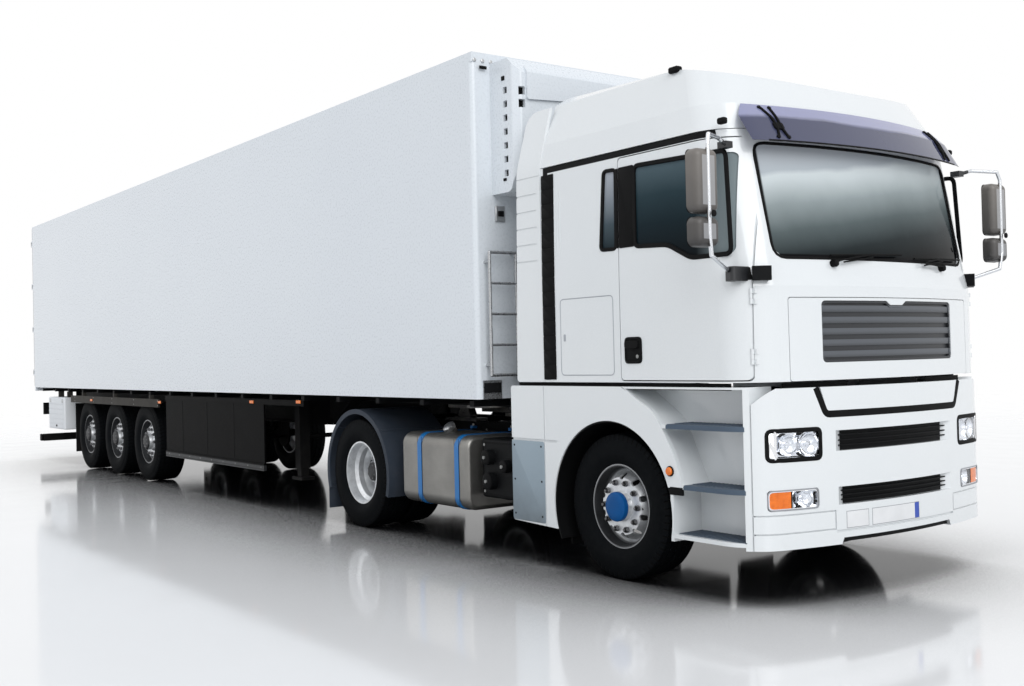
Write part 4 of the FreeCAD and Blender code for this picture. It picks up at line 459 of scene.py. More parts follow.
deck.show("deck_plate", "tractor", slot="chassis")

# Axles, springs, knuckles, engine and fifth wheel: castings and forgings under a thick dark coat,
# rougher than the frame's pressings. The fifth wheel's plate is bare and greased where it bears.
cast_iron = filmed("cast_iron", (0.009, 0.0095, 0.0105, 1), ROAD_FILM, low=0.3, high=1.1,
                   rough=(0.5, 0.75), grain=0.006)
for name in ("front_axle", "drive_axle", "engine_block", "knuckle_right", "knuckle_left",
             "trailer_axles"):
    paint_node(name, cast_iron)
bearing_steel = sprayed("bearing_steel", (0.10, 0.10, 0.105, 1), (0.20, 0.195, 0.18, 1),
                        rough=(0.22, 0.5), grain=0.01, depth=0.0006, patch=0.15, metal=0.85)
paint_node("fifth_wheel", bearing_steel)

# Fuel tank: rolled and welded aluminium sheet, brushed along its length, with swaged end caps. Two
# steel bands in blue paint clamp it to its brackets over rubber strips, and a cast cap locks its neck.
TANK_STRAPS, STRAP_HALF = (-4.02, -3.44), 0.0312
CAP_SPOT, CAP_AXIS = (-3.86, -0.985, 0.95), (0, -0.65, 0.76)
CAP_PROFILE = [(0, 0.052), (0.018, 0.055), (0.036, 0.054), (0.046, 0.040), (0.046, 0.001)]
STRAP_COLOUR = (0.006, 0.150, 0.43, 1)
brushed_tank, tree, shader, place = new_finish("brushed_tank")
brush = speckle(tree, place, 0.003, (0.04, 1, 1), 3.0)
patches = spread(tree, speckle(tree, place, 0.25), 0, 1)
sheet = blend_colours(tree, patches, (0.20, 0.195, 0.185, 1), (0.26, 0.255, 0.24, 1))
along = axes_of(tree, place)[0]
bands = [within(tree, along, NOSE + x - STRAP_HALF, NOSE + x + STRAP_HALF, 0.0002) for x in TANK_STRAPS]
straps = combine(tree, "MAXIMUM", *bands)
feed(tree, shader, "Base Color", blend_colours(tree, straps, sheet, STRAP_COLOUR))
feed(tree, shader, "Roughness", spread(tree, brush, 0.30, 0.46))
feed(tree, shader, "Metallic", combine(tree, "SUBTRACT", 0.8, straps))
dimples(tree, shader, brush, 0.0002, 0.4)
paint_node("fuel_tank", brushed_tank)
cap_alloy = sprayed("cap_alloy", (0.55, 0.56, 0.57, 1), (0.42, 0.43, 0.44, 1), rough=(0.25, 0.4),
                    grain=0.003, depth=0.0002, patch=0.04, metal=0.85)
strap_blue = sprayed("strap_blue", STRAP_COLOUR, (0.008, 0.125, 0.37, 1),
                     rough=(0.3, 0.42), grain=0.004, depth=0.0002, patch=0.2)
tank = Form()
tank.turned(at(*CAP_SPOT), CAP_AXIS, CAP_PROFILE, cap_alloy, 32)
for u, v in circle(1, 8):
    knob = Vector((0.052 * u, 0.040 * v - 0.014, 0.016 + 0.034 * v))
    tank.turned(at(*CAP_SPOT) + knob, CAP_AXIS, disc(0.009, 0.014), cap_alloy, 10)
for x in TANK_STRAPS:
    tank.block(at(x - 0.02, -0.66, 0.928), at(x + 0.02, -0.60, 0.955), strap_blue, 0.004)
    tank.turned(at(x, -0.635, 0.945), (0, 0, 1), disc(0.012, 0.03), zinc, 6)
    for x0, x1 in ((x - 0.036, x - 0.0315), (x + 0.0315, x + 0.036)):
        tank.block(at(x0, -1.206, 0.33), at(x1, -1.207, 0.89), rubber_black, 0.0005)
for x in (-4.10, -3.36):
    end_seam = rectangle(-1.19, -0.62, 0.32, 0.905)
    tank.trim(lambda u, v, out: at(x, u, v), end_seam, 0.09, 0.006, 0.0, cap_alloy)
tank.show("tank_fittings", "tractor", slot="tank")

# Air and battery boxes: grained black plastic covers over folded trays, held by quarter-turn studs. The
# round cartridges of the air system stand out of the right one's face.
grained_plastic = sprayed("grained_plastic", (0.004, 0.0044, 0.005, 1), (0.007, 0.0075, 0.008, 1),
                          rough=(0.42, 0.6), grain=0.0016, depth=0.0003, patch=0.3, glow=0.08)
paint_node("chassis_boxes", grained_plastic)
BOX_FACES = {-1: 1.131, 1: 1.181}
AIR_CARTRIDGES = ((-3.05, 0.76, 0.062), (-3.03, 0.57, 0.070), (-2.81, 0.70, 0.052))
boxes = Form()
for side in (-1, 1):
    y = BOX_FACES[side]
    face = lambda u, v, out: at(u, side * (y + out), v)
    boxes.trim(face, rectangle(-3.16, -2.68, 0.46, 0.875), 0.03, 0.010, 0.004, rubber_black)
    for x in (-3.14, -2.70):
        for z in (0.48, 0.855):
            boxes.turned(at(x, side * y, z), (0, side, 0), disc(0.012, 0.007), zinc, 16)
    if side > 0:
        for z in (0.58, 0.66, 0.74):
            boxes.trim(face, [(-3.10, z), (-2.74, z)], 0.0, 0.014, 0.004, rubber_black, closed=False)
for x, z, r in AIR_CARTRIDGES:
    spot = at(x, -1.185, z)
    lid = [(0, r * 0.9), (0.006, r * 0.94), (0.012, r * 0.8), (0.014, r * 0.3), (0.014, 0.001)]
    boxes.turned(spot, (0, -1, 0), lid, rubber_black, 28)
    boxes.turned(spot, (0, -1, 0), [(0.010, 0.016), (0.024, 0.014), (0.024, 0.001)], zinc, 6)
boxes.show("chassis_box_fittings", "tractor", slot="dark_plastic")

# Bumper and wheel arches: moulded plastic skins sprayed in the cab's white, clipped to the frame's
# brackets. The grilles behind their openings are unpainted grained plastic, and the number plates are
# pressed aluminium in plastic holders. Black strips set back in the gap below the cab stand in for the
# shade in that gap.
FRONT_BOW, FRONT_CORNER = 4.05, 0.3
PLATE_FOOT, PLATE_TOP, PLATE_RIM = 0.440, 0.548, 0.004
FLAP_LINE = [(-0.757, 1.328), (-0.682, 1.160), (0.682, 1.160), (0.757, 1.328)]


def bowed(y, nose, half):
    """How far ahead the bowed front lies at a width, with its rounded corners."""
    y, straight, inner = abs(y), half - FRONT_CORNER, FRONT_BOW - FRONT_CORNER
    if y <= straight * FRONT_BOW / inner:
        return nose - FRONT_BOW + math.sqrt(FRONT_BOW ** 2 - y * y)
    corner = nose - FRONT_BOW + math.sqrt(inner ** 2 - straight ** 2)
    return corner + math.sqrt(max(FRONT_CORNER ** 2 - (y - straight) ** 2, 0.0))


def skin(*sections):
    """A front surface through sections of (nose, half width, height): a point from y, z and how far
    out it lies."""
    def surface(y, z, out=0.0):
        spans = zip(sections, sections[1:])
        low, high = next(pair for pair in spans if z <= pair[1][2] or pair[1] == sections[-1])
        t = (z - low[2]) / (high[2] - low[2])
        nose, half = [a + t * (b - a) for a, b in zip(low[:2], high[:2])]
        slope = (bowed(y + 0.001, nose, half) - bowed(y - 0.001, nose, half)) / 0.002
        lean = (high[0] - low[0]) / (high[2] - low[2])
        normal = Vector((1, -max(-3, min(3, slope)), -lean)).normalized()
        return at(bowed(y, nose, half), y, z) + normal * out
    return surface


bumper_skin = skin((0, 1.245, 0.3), (0, 1.245, 1.4))
cab_skin = skin((-0.010, 1.22, 1.37), (-0.015, 1.22, 1.96), (-0.05, 1.22, 2.11), (-0.215, 1.208, 2.955))


def cab_side(side):
    """The cab's side wall: a point from x, z and how far out."""
    def surface(x, z, out=0.0):
        return at(x, side * (1.22 - max(0, z - 2.11) * 0.0142 + out), z)
    return surface


def flank(side, y):
    """An upright plane along the lorry: a point from x, z and how far out."""
    return lambda x, z, out=0.0: at(x, side * (y + out), z)


white_paint = sprayed("white_paint", (0.72, 0.745, 0.755, 1), (0.69, 0.72, 0.735, 1),
                      rough=(0.22, 0.30), grain=0.0022, depth=0.00012, patch=1.4, lacquer=0.9)
for name in ("front_bumper", "front_fenders"):
    paint_node(name, white_paint)
paint_node("bumper_grilles", grained_plastic)
guard_plastic, tree, shader, place = new_finish("mudguard_plastic")
rear_pair = spread(tree, axes_of(tree, place)[0], 1, 0, NOSE - 3.1, NOSE - 3.0)
splashes = spread(tree, speckle(tree, place, 0.2), 0, 1)
slate = blend_colours(tree, splashes, (0.030, 0.040, 0.056, 1), (0.042, 0.050, 0.064, 1))
feed(tree, shader, "Base Color", blend_colours(tree, rear_pair, (0.004, 0.0042, 0.0046, 1), slate))
feed(tree, shader, "Roughness", spread(tree, speckle(tree, place, 0.003), 0.42, 0.58))
shader.inputs["Specular IOR Level"].default_value = 0.12
paint_node("mudguards", guard_plastic)
plate_white = sprayed("plate_white", (0.76, 0.77, 0.78, 1), (0.70, 0.71, 0.72, 1), rough=(0.3, 0.4),
                      grain=0.002, depth=0.0002, patch=0.1)
plate_blue = sprayed("plate_blue", (0.02, 0.07, 0.42, 1), (0.02, 0.06, 0.36, 1), rough=(0.3, 0.4),
                     grain=0.002, depth=0.0002, patch=0.1)
holder_grey = sprayed("holder_grey", (0.30, 0.31, 0.33, 1), (0.26, 0.27, 0.29, 1), rough=(0.4, 0.5),
                      grain=0.002, depth=0.0002, patch=0.1)
plates = Form()
for y0, y1 in ((-0.537, -0.343), (-0.312, 0.172)):
    plates.patch(bumper_skin, y0, y1, PLATE_FOOT, PLATE_TOP, -0.001, 0.0014, holder_grey)
    plates.patch(bumper_skin, y0 + PLATE_RIM, y1 - PLATE_RIM, PLATE_FOOT + PLATE_RIM,
                 PLATE_TOP - PLATE_RIM, -0.001, 0.0018, plate_white)
plates.patch(bumper_skin, 0.120, 0.168, PLATE_FOOT + PLATE_RIM, PLATE_TOP - PLATE_RIM, -0.001, 0.0021,
             plate_blue)
# Black strips in three parts, set back in the gap below the cab, and strips at its sides stand in for
# the shade in that gap. The service flap's outline is its gap, widened by the painted shadow under its
# edge.
for y0, y1 in ((-0.95, -0.42), (-0.31, 0.31), (0.42, 0.95)):
    plates.patch(bumper_skin, y0, y1, 1.318, 1.360, -0.078, 0.004, rubber_black)
plates.trim(bumper_skin, FLAP_LINE, 0.03, 0.044, 0.003, rubber_black, -0.0015, closed=False)
for side in (-1, 1):
    plates.patch(flank(side, 1.175), -2.58, -0.38, 1.320, 1.365, 0.0, 0.004, rubber_black)
plates.show("number_plates", "tractor", slot="panel_white")

# Steps and side panels: grey moulded treads, ribbed for grip, in the recess ahead of each wheel arch,
# and a grey panel screwed on behind it. A round amber lamp in a rubber ring sits on the arch.
ARCH_FACE = 1.245
STEP_TREADS = ((1.098, -0.90, 0.0315), (0.712, -0.75, 0.0315), (0.392, -0.84, 0.006))
TREAD_FRONT, TREAD_BEND, TREAD_INNER, RIB_PITCH = -0.262, 0.159, 1.0, 0.036
BEND_MIDDLE, BEND_REACH = 0.9456, 0.3025
LAMP_X, LAMP_Z = -0.869, 0.797
step_grey = filmed("step_grey", (0.085, 0.115, 0.155, 1), ROAD_FILM, low=0.0, high=0.6,
                   rough=(0.35, 0.5), grain=0.004)
panel_grey = filmed("panel_grey", (0.27, 0.335, 0.385, 1), (0.16, 0.18, 0.19, 1), low=0.3, high=0.6,
                    rough=(0.35, 0.5), grain=0.004, glow=0.3)
steps = Form()
for side in (-1, 1):
    face = flank(side, ARCH_FACE)
    for z, rear, thick in STEP_TREADS:
        edge = [(rear, TREAD_INNER), (TREAD_FRONT, TREAD_INNER)]
        bend = [TREAD_BEND * (k / 12) ** 1.5 for k in range(13)]
        edge += [(TREAD_FRONT - run, BEND_MIDDLE + math.sqrt(BEND_REACH ** 2 - (TREAD_BEND - run) ** 2))
                 for run in bend]
        lowest = thick < 0.01
        outer = 1.205 if lowest else 1.248
        if lowest:
            edge = [(x, min(y, outer)) for x, y in edge]
        tread = edge + [(rear, outer)]
        lie_flat = lambda x, y, out: at(x, side * y, z + out)
        steps.slab(lie_flat, tread, 0.0, 0.004 - thick, thick, step_grey)
        for k in range(int((-0.29 - rear) / RIB_PITCH)):
            x = rear + 0.014 + RIB_PITCH * k
            steps.block(at(x, side * 1.01, z + 0.002), at(x + 0.012, side * 1.18, z + 0.007), step_grey,
                        0.002)
    steps.slab(face, rectangle(-2.5985, -2.1975, 0.322, 0.9275), 0.02, -0.001, 0.005, panel_grey)
    steps.slab(face, rectangle(-0.877, -0.757, 0.645, 0.697), 0.006, -0.010, 0.0115, rubber_black)
    for x in (-2.565, -2.232):
        for z in (0.37, 0.63, 0.89):
            steps.turned(face(x, z, 0.003), (0, side, 0), disc(0.008, 0.004), rubber_black, 16)
    steps.turned(face(LAMP_X, LAMP_Z), (0, side, 0), disc(0.034, 0.010), rubber_black, 28)
    steps.turned(face(LAMP_X, LAMP_Z, 0.008), (0, side, 0), disc(0.027, 0.014, 0.5), amber, 28)
steps.show("step_and_side_panels", "tractor", slot="dark_plastic")

# Head and fog lamps: black moulded housings with vacuum-coated reflector bowls behind clear covers of
# polycarbonate. The outer half of the low unit is the amber indicator. Each unit is given by its two
# sides, foot and top, and its bowls as (side, height, radius).
HEAD_LAMP = (0.729, 1.061, 0.889, 1.075, ((0.815, 0.982, 0.076), (0.962, 0.982, 0.066)))
FOG_LAMP = (0.753, 1.111, 0.585, 0.711, ((0.845, 0.648, 0.056),))
LAMP_DEPTH = 0.054
BULB_CAP = [(0.004, 0.017), (0.022, 0.017), (0.029, 0.012), (0.032, 0.001)]
chrome = sprayed("bright_coating", (0.86, 0.87, 0.89, 1), (0.78, 0.79, 0.81, 1), rough=(0.05, 0.12),
                 grain=0.004, depth=0.0001, patch=0.05, metal=1.0)
clear_cover = sprayed("clear_cover", (0.97, 0.98, 1.0, 1), (0.94, 0.96, 0.99, 1), rough=(0.0, 0.03),
                      grain=0.01, depth=0.0001, patch=0.05)
cover_shader = clear_cover.node_tree.nodes["Principled BSDF"]
cover_shader.inputs["Transmission Weight"].default_value = 1.0
cover_shader.inputs["IOR"].default_value = 1.25
lamps = Form()
for side in (-1, 1):
    wrap = lambda y, z, out=0.0: bumper_skin(side * y, z, out)
    for y0, y1, z0, z1, bowls in (HEAD_LAMP, FOG_LAMP):
        low_unit = z1 == FOG_LAMP[3]
        lamps.patch(wrap, y0 + 0.006, y1 - 0.006, z0 + 0.006, z1 - 0.006, -LAMP_DEPTH, 0.010, chrome)
        housing = rectangle(y0 + 0.008, y1 - 0.008, z0 + 0.008, z1 - 0.008)
        lamps.trim(wrap, housing, 0.03, 0.012, 0.052, chrome, -LAMP_DEPTH)
        frame_end = y1 - 0.003 if low_unit else y1 + 0.045
        border = rectangle(y0 + 0.003, frame_end, z0 + 0.003, z1 - 0.003)
        wide, frame_finish = (0.008, holder_grey) if low_unit else (0.028, rubber_black)
        lamps.trim(wrap, border, 0.03, wide, 0.005, frame_finish, -0.001)
        if not low_unit:
            coated_end = rectangle(y1 - 0.010, y1 + 0.040, z0 + 0.006, z1 - 0.006)
            lamps.slab(wrap, coated_end, 0.015, -0.001, 0.004, chrome)
        for y, z, r in bowls:
            base = wrap(y, z, -0.052)
            axis = wrap(y, z, 0.01) - wrap(y, z)
            bowl = [(0.002, 0.012), (0.006, r * 0.45), (0.016, r * 0.75), (0.031, r * 0.93),
                    (0.040, r), (0.040, r * 1.05), (0.030, r * 1.05), (0.0, r * 0.5)]
            lamps.turned(base, axis, bowl, chrome, 40)
            lamps.turned(base, axis, BULB_CAP, chrome, 24)
        lens_end = 0.945 if low_unit else y1 - 0.012
        lamps.patch(wrap, y0 + 0.010, lens_end, z0 + 0.010, z1 - 0.010, -0.009, 0.003, clear_cover)
        if low_unit:
            lamps.patch(wrap, 0.947, 0.955, z0 + 0.008, z1 - 0.008, -0.050, 0.044, rubber_black)
            lamps.patch(wrap, 0.956, y1 - 0.010, z0 + 0.009, z1 - 0.009, -0.030, 0.024, amber)
            for k in range(11):
                z = z0 + 0.013 + 0.0096 * k
                lamps.patch(wrap, 0.957, y1 - 0.012, z, z + 0.006, -0.007, 0.0018, amber)
lamps.show("lamp_units", "tractor", slot="lamp", replaces=("front_lamps",))

# Cab: a welded steel shell and doors in gloss white, with the high roof, its side deflectors and the
# front panel moulded in the same colour. The grille is grey plastic in a dark frame; its louvres carry
# painted light, lighter up each face, and painted shade in the gaps between them.
for name in ("cab_shell", "cab_roof", "cab_deflectors", "front_panel", "door_right", "door_left"):
    paint_node(name, white_paint)
grille_grey, tree, shader, place = new_finish("grille_grey")
height = axes_of(tree, place)[2]
# Painted light and shade: five bands, dark in each gap and brightening up each louvre.
rung = combine(tree, "MODULO", combine(tree, "SUBTRACT", height, 1.481), 0.0714)
louvre_light = combine(tree, "MULTIPLY", spread(tree, rung, 0, 1, 0.020, 0.052),
               within(tree, height, 1.497, 1.852))
grain = speckle(tree, place, 0.0016, (1, 1, 1), 3.0)
grille_light_and_shade = blend_colours(tree, louvre_light, (0.022, 0.024, 0.028, 1), (0.085, 0.093, 0.105, 1))
feed(tree, shader, "Base Color", grille_light_and_shade)
feed(tree, shader, "Roughness", spread(tree, grain, 0.35, 0.5))
dimples(tree, shader, grain, 0.0003, 0.4)
paint_node("front_grille", grille_grey)
paint_node("cab_trim", grained_plastic)
LOCKER_LID = rectangle(-2.00, -1.42, 1.42, 1.97)
GAP_REAR, GAP_FRONT, GAP_FOOT, FOLD_HEIGHT = -2.203, -2.060, 1.388, 0.108
line_grey = sprayed("seam_grey", (0.36, 0.38, 0.41, 1), (0.30, 0.32, 0.35, 1), rough=(0.4, 0.5),
                    grain=0.003, depth=0.0002, patch=0.2)
trim = Form()
for side in (-1, 1):
    wall = cab_side(side)
    # The locker's seam, the deflector's ribs, and the folded seal between deflector and cab.
    trim.trim(wall, LOCKER_LID, 0.035, 0.007, 0.0012, line_grey)
    for k in range(5):
        x = -2.11 + 0.03 * k
        trim.trim(wall, [(x, 2.29), (x, 2.76)], 0.0, 0.010, 0.003, white_paint, closed=False)
    for k in range(14):
        z = GAP_FOOT + FOLD_HEIGHT * k
        trim.slab(wall, rectangle(GAP_REAR, GAP_FRONT, z, z + 0.104), 0.006, 0.0, 0.007, rubber_black)
    trim.patch(wall, GAP_REAR + 0.002, GAP_FRONT - 0.002, GAP_FOOT, 2.900, 0.0, 0.004, rubber_black)
    # The rear window's dark edge, the locker's latch, and the seal at the cab's front corner.
    trim.slab(wall, rectangle(-1.375, -1.348, 2.288, 2.834), 0.004, 0.0, 0.006, rubber_black)
    trim.slab(wall, rectangle(-1.965, -1.945, 1.665, 1.715), 0.008, 0.0, 0.004, line_grey)
    corner = lambda y, z, out=0.0: cab_skin(side * y, z, out)
    trim.patch(corner, 1.085, 1.123, 1.998, 2.076, 0.0, 0.003, rubber_black, 0.01)
    # Marker lamps by the visor and on the roof.
    marker = at(-0.385, side * 1.190, 2.992)
    trim.block(marker + Vector((-0.035, -0.022, -0.018)), marker + Vector((0.030, 0.022, 0.022)),
               rubber_black, 0.012)
    marker = at(-0.93, side * 1.045, 3.435)
    trim.block(marker + Vector((-0.05, -0.03, -0.012)), marker + Vector((0.04, 0.03, 0.030)),
               rubber_black, 0.014)
trim.show("cab_seams_and_lamps", "cab", slot="dark_plastic")

# Windscreen and cab windows: tinted laminated glass with a printed black edge, bonded into rubber
# seals. Two pantograph arms with rubber blades park along the windscreen's foot.
PRINTED_EDGE = (0.005, 0.005, 0.006, 1)
SCREEN_SPAN, SCREEN_RISE = (-0.968, 0.972), (2.160, 2.90)


def tinted(name, stops, slope=0.0, side_stops=None):
    """Dark glass whose tone runs through colours with height, tilted across the lorry by a slope: a
    painted reflection of the bright room, lighter towards the top. The stops are (height, colour), lowest
    first.
    Glass far out at the sides may have stops of its own."""
    finish, tree, shader, place = new_finish(name)
    ahead, across, height = axes_of(tree, place)
    wavy_height = combine(tree, "ADD", height, spread(tree, speckle(tree, place, 0.5), -0.02, 0.02))

    def tone(level, stops):
        ramp = tree.nodes.new("ShaderNodeValToRGB")
        bottom, top = stops[0][0], stops[-1][0]
        for z, colour in stops[1:-1]:
            ramp.color_ramp.elements.new((z - bottom) / (top - bottom)).color = colour
        ramp.color_ramp.elements[0].color, ramp.color_ramp.elements[-1].color = stops[0][1], stops[-1][1]
        tree.links.new(spread(tree, level, 0, 1, bottom, top), ramp.inputs["Fac"])
        return ramp.outputs["Color"]

    colour = tone(combine(tree, "ADD", wavy_height, combine(tree, "MULTIPLY", across, slope)), stops)
    if side_stops:
        see_through = combine(tree, "MULTIPLY", within(tree, across, *SCREEN_SPAN, 0.006),
                              within(tree, height, *SCREEN_RISE, 0.004))
        colour = blend_colours(tree, see_through, PRINTED_EDGE, colour)
        out = spread(tree, combine(tree, "ABSOLUTE", across, 0), 0, 1, 1.10, 1.11)
        colour = blend_colours(tree, out, colour, tone(wavy_height, side_stops))
    else:
        # Door glass towards the window's front edge is painted lighter, as a painted reflection.
        front = spread(tree, ahead, 0, 1, NOSE - 0.62, NOSE - 0.36)
        colour = blend_colours(tree, front, colour, (0.20, 0.24, 0.25, 1))
    feed(tree, shader, "Base Color", colour)
    feed(tree, shader, "Roughness", spread(tree, speckle(tree, place, 0.02), 0.015, 0.05))
    shader.inputs["Specular IOR Level"].default_value = 0.05
    return finish


# The tone of the windscreen and the door glass, dark at the foot and lighter towards the top, is a
# painted reflection of the bright room.
screen_glass = tinted("screen_glass", [
    (2.12, (0.003, 0.0035, 0.004, 1)), (2.26, (0.020, 0.026, 0.028, 1)), (2.42, (0.090, 0.112, 0.115, 1)),
    (2.58, (0.26, 0.30, 0.305, 1)), (2.73, (0.54, 0.59, 0.60, 1)), (2.765, (0.58, 0.63, 0.64, 1)),
    (2.800, (0.42, 0.46, 0.49, 1)), (2.90, (0.44, 0.47, 0.50, 1))], -0.13,
    [(2.29, (0.012, 0.022, 0.028, 1)), (2.45, (0.06, 0.085, 0.10, 1)), (2.62, (0.22, 0.25, 0.28, 1)),
     (2.84, (0.44, 0.47, 0.52, 1))])
door_glass = tinted("door_glass", [
    (2.16, (0.003, 0.005, 0.007, 1)), (2.42, (0.008, 0.018, 0.024, 1)), (2.62, (0.022, 0.042, 0.052, 1)),
    (2.84, (0.085, 0.125, 0.145, 1))])
paint_node("cab_glass", screen_glass)
for name, side in SIDES:
    paint_node("door_glass_" + name, door_glass)
SCREEN_EDGE = [(-0.985, 2.135), (0.985, 2.135), (1.0, 2.868), (-1.0, 2.868)]
REAR_WINDOW = [(-1.538, 2.290), (-1.376, 2.285), (-1.376, 2.832), (-1.500, 2.836)]
WIPERS, PIVOT_HEIGHT = ((-0.548, -0.568), (0.612, 0.252)), 2.102  # pivot and the blade's first end
seal = Form()
seal.trim(cab_skin, SCREEN_EDGE, 0.09, 0.018, 0.010, rubber_black, -0.005)
for side in (-1, 1):
    seal.trim(cab_side(side), REAR_WINDOW, 0.03, 0.026, 0.014, rubber_black, -0.008)
for y, start in WIPERS:
    seal.turned(cab_skin(y, PIVOT_HEIGHT, 0.0), (1, 0, 0.1), disc(0.024, 0.042), rubber_black, 24)
    arm = [cab_skin(y, PIVOT_HEIGHT, 0.036), cab_skin(start + 0.08, 2.120, 0.036),
           cab_skin(start + 0.36, 2.160, 0.030)]
    seal.tube(arm, 0.0060, rubber_black, 8)
    seal.tube([p + Vector((0, 0.010, -0.016)) for p in arm[1:]], 0.005, rubber_black, 8)
    blade = [cab_skin(start + 0.068 * k, 2.150 + 0.002 * k, 0.012) for k in range(11)]
    for lift, thick in ((0.0, 0.0045), (0.009, 0.0060)):
        out = cab_skin(y, 2.2, lift) - cab_skin(y, 2.2)
        seal.tube([p + out for p in blade], thick, rubber_black, 8)
seal.show("windscreen_seal_and_wipers", "cab", slot="dark_plastic")

# Sun visor: a bent strip of acrylic, tinted through. Its upper part, leaning back, carries painted light
# above a darker foot. It stands off the roof's front on two crossed black stays, each screwed on at four
# points.
visor_tint, tree, shader, place = new_finish("visor_tint")
height = axes_of(tree, place)[2]
drift = spread(tree, speckle(tree, place, 0.4), -0.01, 0.01)
# Painted light: above 3.02 m the visor turns lighter, as where its top face catches the light.
band = spread(tree, combine(tree, "ADD", height, drift), 0, 1, 3.02, 3.05)
acrylic_and_painted_light = blend_colours(tree, band, (0.075, 0.082, 0.150, 1), (0.33, 0.345, 0.54, 1))
feed(tree, shader, "Base Color", acrylic_and_painted_light)
feed(tree, shader, "Roughness", spread(tree, speckle(tree, place, 0.01), 0.05, 0.09))
shader.inputs["Transmission Weight"].default_value = 0.25
paint_node("sun_visor", visor_tint)
visor_skin = skin((-0.075, 1.250, 2.862), (-0.176, 1.235, 3.030), (-0.272, 1.200, 3.125))
stays = Form()
stays.trim(visor_skin, [(-0.98, 2.866), (0.98, 2.866)], 0.0, 0.012, 0.004, rubber_black, -0.003,
           closed=False)
for y in (-0.86, 0.86):
    for lean in (-0.036, 0.036):
        line = [visor_skin(y + lean, 2.885, 0.004), visor_skin(y + lean * 0.45, 2.945, 0.009),
                visor_skin(y + lean * 0.5, 3.02, 0.009), visor_skin(y + lean, 3.105, 0.004)]
        stays.tube(line, 0.0085, rubber_black, 10)
    stays.slab(visor_skin, rectangle(y - 0.035, y + 0.035, 2.940, 2.985), 0.012, 0.001, 0.012,
               rubber_black)
    for lean in (-0.038, 0.038):
        for z in (2.89, 3.10):
            out = visor_skin(y, z, 0.01) - visor_skin(y, z)
            stays.turned(visor_skin(y + lean, z, 0.0), out, disc(0.014, 0.010), rubber_black, 16)
stays.show("visor_stays", "cab", slot="visor")

# Doors: pressed steel skins with moulded pull handles, and rubber channels round their glass. A black
# plate covers the pillar behind the window.
DOOR_WINDOW = [(-1.190, 2.285), (-0.870, 2.268), (-0.660, 2.165), (-0.315, 2.165), (-0.352, 2.806),
               (-1.190, 2.830)]
for name, side in SIDES:
    wall = cab_side(side)
    door = Form()
    door.trim(wall, DOOR_WINDOW, 0.045, 0.030, 0.014, rubber_black, -0.008)
    # The pillar plate, then the handle's recess with its rim, the pull and the lock.
    door.slab(wall, rectangle(-1.340, -1.190, 2.286, 2.838), 0.012, 0.0, 0.006, rubber_black)
    door.slab(wall, rectangle(-1.305, -1.135, 1.497, 1.677), 0.035, 0.0, 0.008, rubber_black)
    door.trim(wall, rectangle(-1.292, -1.148, 1.510, 1.664), 0.03, 0.010, 0.006, rubber_black, 0.006)
    door.slab(wall, rectangle(-1.285, -1.155, 1.600, 1.650), 0.018, 0.006, 0.022, rubber_black)
    door.turned(wall(-1.175, 1.545, 0.006), (0, side, 0), disc(0.013, 0.005), zinc, 20)
    corner = lambda y, z, out=0.0: cab_skin(side * y, z, out)
    door.patch(corner, 1.131, 1.150, 1.998, 2.076, 0.0, 0.003, rubber_black, 0.01)
    door.show("door_fittings_" + name, "cab_door_" + name, slot="dark_plastic")

# Mirrors: a tall head over a wide-angle head, moulded shells with chromed glass, on a bent tube that
# stands on a moulded foot at the door's front and a small one by the roof.
MIRROR_HEADS = ((2.401, 2.749), (2.201, 2.346))
mirror_shell, tree, shader, place = new_finish("mirror_shell")
ahead, across, height = axes_of(tree, place)
out = combine(tree, "ABSOLUTE", across, 0)
ends = combine(tree, "MAXIMUM", spread(tree, height, 0, 1, 2.7655, 2.7665),
               spread(tree, height, 1, 0, 2.1825, 2.1835))
bare = combine(tree, "MAXIMUM", spread(tree, ahead, 0, 1, NOSE - 0.1802, NOSE - 0.1796), ends)
tube_mask = combine(tree, "MULTIPLY", bare, spread(tree, out, 0, 1, 1.296, 1.298))
wavy_height = combine(tree, "ADD", height, spread(tree, speckle(tree, place, 0.1), -0.03, 0.03))
fade = spread(tree, wavy_height, 0, 1, 2.2, 2.8)
shell = blend_colours(tree, fade, (0.045, 0.043, 0.042, 1), (0.17, 0.155, 0.14, 1))
shell = blend_colours(tree, spread(tree, out, 0, 1, 1.30, 1.302), (0.016, 0.017, 0.019, 1), shell)
feed(tree, shader, "Base Color", blend_colours(tree, tube_mask, shell, (0.70, 0.72, 0.75, 1)))
feed(tree, shader, "Metallic", combine(tree, "MULTIPLY", tube_mask, 0.9))
fine = speckle(tree, place, 0.002, (1, 1, 1), 3.0)
polish = combine(tree, "MULTIPLY", tube_mask, 0.22)
feed(tree, shader, "Roughness", combine(tree, "SUBTRACT", spread(tree, fine, 0.36, 0.48), polish))
for name, side in SIDES:
    paint_node("mirror_" + name, mirror_shell)
    mirror = Form()
    back = lambda y, z, out: at(-0.275 - out, side * y, z)
    for low, high in MIRROR_HEADS:
        mirror.block(at(-0.2745, side * 1.615, low), at(-0.2665, side * 1.455, high), chrome, 0.003)
        mirror.trim(back, rectangle(1.446, 1.624, low - 0.012, high + 0.012), 0.035, 0.010, 0.004,
                    rubber_black)
    mirror.turned(at(-0.150, side * 1.535, 2.375), (1, 0, 0), disc(0.020, 0.010), rubber_black, 20)
    mirror.show("mirror_glass_" + name, "cab_door_" + name, slot="mirror_grey")

